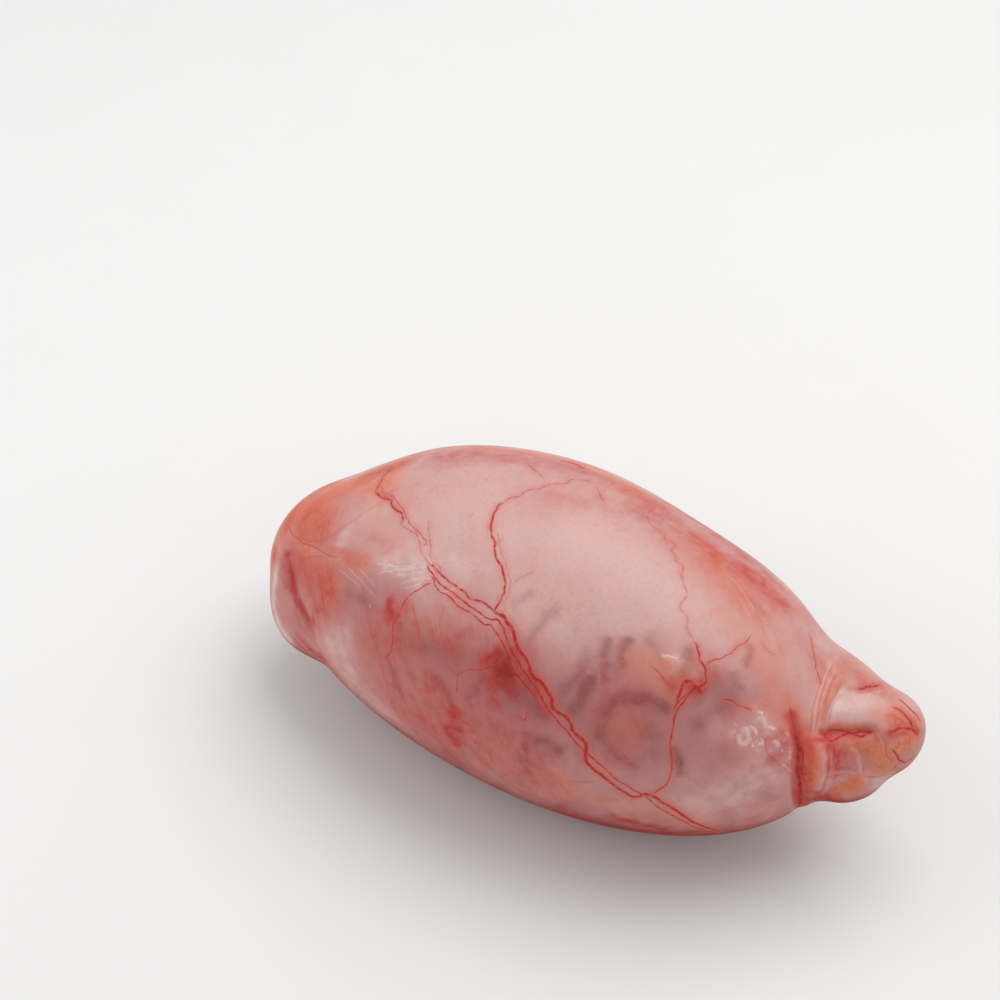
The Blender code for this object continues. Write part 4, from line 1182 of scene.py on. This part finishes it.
class Vessels(Lines):
    """Lines that flush the flesh round them."""

    def __init__(self, points, normals, layers):
        super().__init__(points, normals, layers)
        self.flush = np.zeros(len(points))

    def add(self, route, half_width, strength):
        """Lays a vessel, and raises the flush to its strength times a bell of the distance to it."""
        near, distance, fade = super().add(route, half_width, strength)
        flush = strength * fade * bell(distance, FLUSH_WIDTH + half_width)
        self.flush[near] = np.maximum(self.flush[near], flush)


class Marks:
    """Every mark that is laid on the skin: lines of three kinds, and tones."""

    def __init__(self, points, normals, tree):
        self.points = points
        self.normals = normals
        self.tree = tree
        kinds = {"vessel": Vessels, "seam": Lines, "ridge": Lines}
        self.lines = {kind: lines(points, normals, LAYERS[kind]) for kind, lines in kinds.items()}
        self.tones = {tone: np.zeros(len(points)) for tone in TONES}

    def add_patch(self, tone, route, half_width, strength, random):
        """Raises a tone to strength times a bell of the distance of pushed points to the route."""
        near = points_near(self.points, route, PATCH_REACH * half_width)
        pushed = self.points[near] + waver(self.points[near], half_width, random)
        distance = nearest_on_route(pushed, route)[0]
        self.tones[tone][near] = np.maximum(self.tones[tone][near], strength * bell(distance, half_width))

    def store(self, mesh):
        """Keeps every mark, and how far the skin faces up, with the mesh's points."""
        columns = [*self.tones.values(), self.normals[:, 2], self.lines["vessel"].flush]
        store_columns(mesh, "tone", columns)
        for kind, lines in self.lines.items():
            store_columns(mesh, f"{kind}_across", lines.across.T)
            store_columns(mesh, f"{kind}_strength", lines.strength.T)


def mark_shown_side(marks, camera_place, random):
    """Lays every named line and patch on the skin. A line's points get a small seeded wobble."""
    for kind, table in (("vessel", VESSELS), ("seam", SEAMS), ("ridge", RIDGES)):
        for half_width, strength, knots in table.values():
            pixels = wobbled(curve_through(knots, KNOT_STEPS), LINE_WOBBLE, random)
            route = cast_on_skin(curve_through(pixels, LINE_STEPS), marks.tree, camera_place)
            marks.lines[kind].add(route, half_width * PIXEL, strength)
    for tone, half_width, strength, knots in PATCHES.values():
        route = cast_on_skin(curve_through(knots, PATCH_STEPS), marks.tree, camera_place)
        marks.add_patch(tone, route, half_width * PIXEL, strength, random)


def mark_hidden_side(marks, random):
    """Seeded walks for the vessels, spots and tubules that the camera doesn't see."""
    vessels = marks.lines["vessel"]
    for start, heading, length, half_width, strength in BACK_TRUNKS.values():
        path = walk_on_skin(start, heading, length, TRUNK_WANDER, marks.tree, random)
        path = wobbled(path, WALK_WOBBLE, random)
        vessels.add(curve_through(path, WALK_CURVE_STEPS), half_width, strength)
        echo = curve_through(path_beside(path, marks.tree, random), WALK_CURVE_STEPS)
        vessels.add(echo, half_width * ECHO_SHARE, strength * ECHO_SHARE)
        forks = np.linspace(len(path) // TWIG_FIRST_PART, len(path) - TWIG_END_STEPS, TWIG_COUNT)
        for fork in path[forks.astype(int)]:
            way = np.array(heading) + random.normal(0.0, TWIG_TURN, 3)
            reach = length * random.uniform(*TWIG_LENGTHS)
            twig = walk_on_skin(fork, way, reach, TWIG_WANDER, marks.tree, random)
            twig = curve_through(wobbled(twig, WALK_WOBBLE, random), WALK_CURVE_STEPS)
            vessels.add(twig, half_width * TWIG_WIDTH, strength * TWIG_STRENGTH)
    hidden = np.flatnonzero(marks.normals @ camera_axes()[2] < HIDDEN_FACING)
    for tone, count, length, half_width, strength in BACK_MARKS:
        for start in marks.points[random.choice(hidden, count)]:
            heading = random.normal(0.0, 1.0, 3) * BACK_MARK_WAY
            path = walk_on_skin(start, heading, length, TWIG_WANDER, marks.tree, random)
            width = half_width * random.uniform(*BACK_MARK_SIZES)
            marks.add_patch(tone, path, width, strength * random.uniform(*BACK_MARK_STRENGTHS), random)


def turn_along(pixels, tree, camera_place):
    """The turn that lays local X along the skin between two pixels of the frame, and local Z out of it."""
    start, end = cast_on_skin(pixels, tree, camera_place)
    normal = nearest_on_skin((start + end) / 2, tree)[1]
    ahead = Vector(end - start)
    ahead = (ahead - normal * ahead.dot(normal)).normalized()
    return Matrix((ahead, normal.cross(ahead), normal)).transposed().to_euler()


def store_columns(mesh, name, columns):
    """Keeps columns of numbers, one number to a point, as vector attributes of three columns each."""
    spare = np.zeros((-len(columns) % VECTOR_SIZE, len(mesh.vertices)))
    threes = np.vstack([*columns, spare]).reshape(-1, VECTOR_SIZE, len(mesh.vertices))
    for number, three in enumerate(threes):
        attribute = mesh.attributes.new(f"{name}_{number}", "FLOAT_VECTOR", "POINT")
        attribute.data.foreach_set("vector", three.T.astype(np.float32).ravel())


# Materials


class Value:
    """A shader socket that works in arithmetic: each operator adds one Math node."""

    def __init__(self, maker, socket):
        self.maker = maker
        self.socket = socket

    def math(self, operation, first, second=0.0):
        return self.maker.node("ShaderNodeMath", {"operation": operation}, {0: first, 1: second})

    def __add__(self, other):
        return self.math("ADD", self, other)

    def __radd__(self, other):
        return self.math("ADD", other, self)

    def __sub__(self, other):
        return self.math("SUBTRACT", self, other)

    def __rsub__(self, other):
        return self.math("SUBTRACT", other, self)

    def __mul__(self, other):
        return self.math("MULTIPLY", self, other)

    def __rmul__(self, other):
        return self.math("MULTIPLY", other, self)

    def __abs__(self):
        return self.math("ABSOLUTE", self)

    def most(self, other):
        return self.math("MAXIMUM", self, other)

    def least(self, other):
        return self.math("MINIMUM", self, other)


class Maker:
    """Makes the nodes of one material."""

    def __init__(self, name):
        self.material = bpy.data.materials.new(name)
        self.material.use_nodes = True
        self.tree = self.material.node_tree

    def node(self, kind, settings, sockets, output=0):
        """Adds a node: its settings first, then what its sockets hold or are fed by."""
        made = self.tree.nodes.new(kind)
        for name, value in settings.items():
            setattr(made, name, value)
        self.feed(made, sockets)
        return Value(self, made.outputs[output])

    def feed(self, node, sockets):
        """Links each socket of a node to a value of the shader, or sets it to a constant."""
        for key, value in sockets.items():
            if isinstance(value, Value):
                self.tree.links.new(value.socket, node.inputs[key])
            else:
                node.inputs[key].default_value = value

    def finish(self, sockets):
        """Feeds the material's own shader, and gives the material."""
        self.feed(self.tree.nodes["Principled BSDF"], sockets)
        return self.material

    def columns(self, name, count):
        """The columns of numbers that store_columns keeps under this name."""
        sockets = []
        for number in range(-(-count // VECTOR_SIZE)):
            settings = {"attribute_name": f"{name}_{number}"}
            vector = self.node("ShaderNodeAttribute", settings, {}, "Vector")
            parts = self.node("ShaderNodeSeparateXYZ", {}, {0: vector})
            sockets += [Value(self, socket) for socket in parts.socket.node.outputs]
        return sockets[:count]

    def place(self):
        return self.node("ShaderNodeTexCoord", {}, {}, "Object")

    def stretched(self, size, turn):
        """Object coordinates turned, then measured in steps of this size along each axis."""
        sockets = {"Vector": self.place(), "Rotation": turn, "Scale": size}
        return self.node("ShaderNodeMapping", {"vector_type": "TEXTURE"}, sockets)

    def noise(self, scale, detail, distortion=0.0, roughness=0.5, vector=None):
        sockets = {"Vector": vector or self.place(), "Scale": scale, "Detail": detail}
        sockets.update({"Distortion": distortion, "Roughness": roughness})
        return self.node("ShaderNodeTexNoise", {}, sockets)

    def rise(self, value, start, end, low=0.0, high=1.0):
        """A smooth rise from low to high while the value goes from start to end."""
        sockets = {"Value": value, "From Min": start, "From Max": end, "To Min": low, "To Max": high}
        return self.node("ShaderNodeMapRange", {"interpolation_type": "SMOOTHSTEP"}, sockets)

    def texture(self, *noise):
        """A noise spread over 0 to 1, with a mean of about 0.5."""
        return self.rise(self.noise(*noise), *TEXTURE_SPAN)

    def crests(self, noise, half_width):
        """Thin lines where a noise passes its mean."""
        return self.rise(abs(noise - TEXTURE_MEAN), half_width, 0.0)

    def tint(self, under, share, over, blend="MIX"):
        """A colour under another one, which shows fully where share is 1. MULTIPLY darkens by it instead."""
        settings = {"data_type": "RGBA", "blend_type": blend}
        return self.node("ShaderNodeMix", settings, {0: share, 6: under, 7: over}, 2)

    def lines(self, kind):
        """The strongest line of one kind at each place: full inside its core, nothing past its edge."""
        columns = (self.columns(f"{kind}_{part}", LAYERS[kind]) for part in ("across", "strength"))
        mask = 0.0
        for across, strength in zip(*columns):
            mask = (self.rise(abs(across), LINE_EDGE, LINE_CORE) * strength).most(mask)
        return mask

    def bump(self, height, depth, strength, under=None):
        sockets = {"Height": height, "Distance": depth, "Strength": strength}
        if under:
            sockets["Normal"] = under
        return self.node("ShaderNodeBump", {}, sockets)


class Membrane(Maker):
    """The wet membrane with the flesh under it. Its looks are the tones, textures and masks, by name."""

    def __init__(self, turns):
        super().__init__("wet membrane")
        self.turns = turns
        self.looks = dict(zip((*TONES, "upward", "flush"), self.columns("tone", len(TONES) + 2)))
        self.looks.update({name: self.texture(*noise) for name, noise in TEXTURES.items()})
        for way, (size, distortion) in STREAKS.items():
            vector = self.stretched(size, turns[way])
            self.looks[way] = self.texture(1.0, STREAK_DETAIL, distortion, STREAK_ROUGHNESS, vector)
        self.looks.update({kind: self.lines(kind) for kind in LAYERS})
        self.looks["full_vessel"] = self.looks["vessel"].least(1.0)
        self.looks["thread"] = self.threads()
        self.looks["specks"] = self.specks()
        self.looks["underside"] = self.rise(self.looks["upward"], *UNDERSIDE_SPAN)

    def blend(self, shares):
        """Looks added up, each times its share."""
        first, *rest = (self.looks[name] * share for name, share in shares.items())
        return sum(rest, first)

    def facing(self, sway, span):
        """A rise over how far the skin faces up, which textures sway from place to place."""
        value = self.looks["upward"]
        for name, swing in sway.items():
            value = value + (self.looks[name] - TEXTURE_MEAN) * swing
        return self.rise(value, *span)

    def wash(self, tone):
        """A tone made uneven by a blend of textures that has a mean of 0.5."""
        uneven, strength, shares = WASHES[tone]
        texture = 1.0 - uneven + self.blend(shares) * (2.0 * uneven)
        return (self.looks[tone] * texture).least(1.0) * strength

    def threads(self):
        """White threads, laid two ways, where the fibre tone is strong: fibres, partly painted glisten of the
        wet membrane.
        """
        thread = 0.0
        for way, (half_width, strength) in THREADS.items():
            vector = self.stretched(THREAD_SIZE, self.turns[way])
            noise = self.noise(1.0, THREAD_DETAIL, THREAD_DISTORTION, vector=vector)
            thread = (self.crests(noise, half_width) * strength).most(thread)
        return thread * self.rise(self.looks["fibre_glisten"] * (THREAD_GROUND + self.looks["middle"]), *THREAD_SPAN)

    def specks(self):
        """Specks of the painted glints: small white highlights of the wet membrane."""
        glint_cells = self.node("ShaderNodeTexVoronoi", {}, {"Vector": self.place(), "Scale": GLINT_SCALE})
        glinting = self.rise(self.looks["painted_glints"] * (SPECK_GROUND + self.looks["small"]), *SPECK_SPAN)
        return self.rise(glint_cells, *GLINT_SPAN) * glinting

    def flesh(self):
        """Layers of colour over pink flesh, from the deepest to the topmost."""
        looks = self.looks
        pale, fibre_glisten, painted_glints, specks = (looks[name] for name in ("pale", "fibre_glisten", "painted_glints", "specks"))
        broad, middle, small, fine = (looks[name] for name in ("broad", "middle", "small", "fine"))
        below = self.facing(UNDER_SWAY, UNDER_SPAN)
        mottled = looks["streak"] * below
        spots = mottled * self.rise(self.blend(SPOT_SHARES), *SPOT_SPAN)
        flecks = mottled * self.rise(self.blend(FLECK_SHARES), *FLECK_SPAN)
        # how much of the underside's dark red painted shade shows, less where pale places lift it
        clear = UNDERSIDE_SHADE_SHARE - (pale * PALE_LIFTS_SHADE).least(PALE_LIFTS_SHADE_MOST)
        hairs = self.crests(self.noise(*HAIR_NOISE), HAIR_WIDTH) * broad * middle
        # painted glints: white highlights on the glint tone and its specks
        glinting = painted_glints * small * GLINT_SHARE + specks * (SPECK_BRIGHT_GROUND + fine) * SPECK_SHARE
        layers = (
            # painted shade: darker mauve flesh where the skin faces down
            (below, DOWNWARD_SHADE),
            (middle * ROSE_SHARE, ROSE),
            (broad * small * CREAM_SHARE, CREAM),
            (looks["tailward"] * broad * CREAM_STREAK_SHARE, CREAM),
            (looks["girth"] * middle * (SALMON_ABOVE + SALMON_BELOW * below), SALMON),
            (self.wash("shade"), SHADE, "MULTIPLY"),
            (self.wash("pale"), PALE),
            (((pale - 1.0) * WHITE_SHARE).most(0.0), WHITE),
            (self.wash("streak"), SALMON),
            ((spots * SPOT_SHARE).least(1.0), BLOOD_AND_SHADE_RED),
            ((flecks * FLECK_SHARE).least(1.0), LILAC),
            (below * looks["cloud"] * small * CLOUD_SHARE, LILAC),
            (self.wash("mauve"), LILAC),
            (self.wash("grey"), GREY),
            (self.wash("orange"), self.tint(RUST, self.blend(FAT_SHARES), GOLD)),
            (self.wash("red"), BLOOD_AND_SHADE_RED),
            (self.wash("fresh"), FRESH),
            # painted shade: dark red on the underside
            (self.facing(UNDERSIDE_SHADE_SWAY, UNDERSIDE_SHADE_SPAN) * clear, UNDERSIDE_SHADE),
            (fine * looks["grain"] * GRAIN_SHARE, SALMON),
            # white fibres, partly painted glisten
            (fibre_glisten * small * FIBRE_SHARE, WHITE),
            (looks["thread"] * THREAD_SHARE, WHITE),
            (hairs * HAIR_SHARE, FLUSH),
            ((looks["flush"] * (FLUSH_GROUND + middle) * FLUSH_SHARE).least(FLUSH_MOST), FLUSH),
            ((looks["ridge"] * RIDGE_SHARE).least(RIDGE_MOST), WHITE),
            ((looks["seam"] * SEAM_SHARE).least(SEAM_MOST), SEAM),
            ((looks["vessel"] * self.rise(fine, *BEAD_SPAN)).least(VEIN_MOST), VEIN),
            (self.wash("dark"), CLOT_AND_RIM_SHADE),
            # painted glints: white highlights of the wet membrane
            (glinting.least(GLINT_MOST), WHITE),
        )
        flesh = PINK
        for layer in layers:
            flesh = self.tint(flesh, *layer)
        return flesh

    def finished(self):
        """The material: flesh, gloss and relief. The underside is dull, because the coat fades out there."""
        swell = self.bump(self.blend(SWELL_SHARES), SWELL_DEPTH, SWELL_STRENGTH)
        return self.finish({
            "Base Color": self.flesh(),
            "Roughness": (ROUGH + self.blend(ROUGH_SHARES)).least(ROUGH_MOST),
            "Coat Weight": COAT - self.looks["underside"] * COAT,
            "Normal": self.bump(self.blend(RELIEF_SHARES), RELIEF_DEPTH, RELIEF_STRENGTH, swell),
            **MEMBRANE,
        })


def floor_material():
    """A pale matt floor with hardly any speckle."""
    maker = Maker("pale floor")
    colour = maker.tint(FLOOR_PALE, maker.noise(*FLOOR_NOISE), FLOOR_PALER)
    return maker.finish({"Base Color": colour, **FLOOR_FINISH})


# Stage


def add_object(name, data):
    """An object in the scene that shows this data."""
    made = bpy.data.objects.new(name, data)
    bpy.context.scene.collection.objects.link(made)
    return made


def add_floor():
    """A square grid, level out to where it can't be seen."""
    side = np.linspace(-FLOOR_HALF, FLOOR_HALF, FLOOR_POINTS)
    x, y = np.meshgrid(side, side, indexing="ij")
    points = np.stack([x.ravel(), y.ravel(), np.zeros(x.size)], axis=1)
    cells = np.arange(FLOOR_POINTS - 1)
    corner = (cells[:, None] * FLOOR_POINTS + cells).ravel()
    quads = np.stack([corner, corner + FLOOR_POINTS, corner + FLOOR_POINTS + 1, corner + 1], axis=1)
    floor = new_mesh("floor", points, [quads])
    floor.data.materials.append(floor_material())


def add_lamp(name, place, target, width, height, power, tint):
    """A soft rectangular lamp that points at its target."""
    data = bpy.data.lights.new(name, "AREA")
    data.shape = "RECTANGLE"
    data.size = width
    data.size_y = height
    data.energy = power
    data.color = tint
    lamp = add_object(name, data)
    lamp.location = place
    lamp.rotation_euler = (Vector(target) - Vector(place)).to_track_quat("-Z", "Y").to_euler()


def add_camera(place):
    """The camera at its turn, lift and place."""
    data = bpy.data.cameras.new("camera")
    data.lens = CAMERA_LENS
    data.sensor_width = SENSOR
    data.clip_start = CAMERA_NEAR
    camera = add_object("camera", data)
    camera.matrix_world = Matrix.LocRotScale(Vector(place), Matrix(camera_axes()).transposed(), None)
    bpy.context.scene.camera = camera


def add_world():
    """Even white light from all sides."""
    world = bpy.data.worlds.new("studio")
    world.use_nodes = True
    sky = world.node_tree.nodes["Background"]
    sky.inputs["Color"].default_value = SKY
    sky.inputs["Strength"].default_value = WORLD_LIGHT
    bpy.context.scene.world = world
    bpy.context.scene.view_settings.view_transform = "Standard"


def add_skin(middle, camera_place):
    """The skin with its marks and its material, in place of the plain solid."""
    points = skin_points(SKIN_ROWS, SKIN_SIDES, CROWDING) - middle
    skin = new_mesh("skin", points, grid_faces(SKIN_ROWS[-1], SKIN_SIDES))
    mesh = skin.data
    normals = np.empty(len(points) * 3, np.float32)
    mesh.vertex_normals.foreach_get("vector", normals)
    normals = normals.reshape(-1, 3).astype(float)
    tree = BVHTree.FromObject(skin, bpy.context.evaluated_depsgraph_get())
    marks = Marks(points, normals, tree)
    random = np.random.default_rng(SEED)
    mark_shown_side(marks, camera_place, random)
    mark_hidden_side(marks, random)
    marks.store(mesh)
    turns = {way: turn_along(pixels, tree, camera_place) for way, pixels in STREAK_WAYS.items()}
    mesh.materials.append(Membrane(turns).finished())
    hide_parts(NODE)
    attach(skin, "root")


def main():
    """Sets the stage, and dresses the solid in a skin whose footprint has the same middle."""
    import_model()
    solid = skin_points(SOLID_ROWS, SOLID_SIDES, 0.0)
    middle = (solid.min(axis=0) + solid.max(axis=0)) / 2 * (1.0, 1.0, 0.0)
    camera_place = np.array(CAMERA_PLACE) - middle
    add_camera(camera_place)
    add_world()
    for lamp in LAMPS:
        add_lamp(*lamp)
    add_floor()
    add_skin(middle, camera_place)


main()
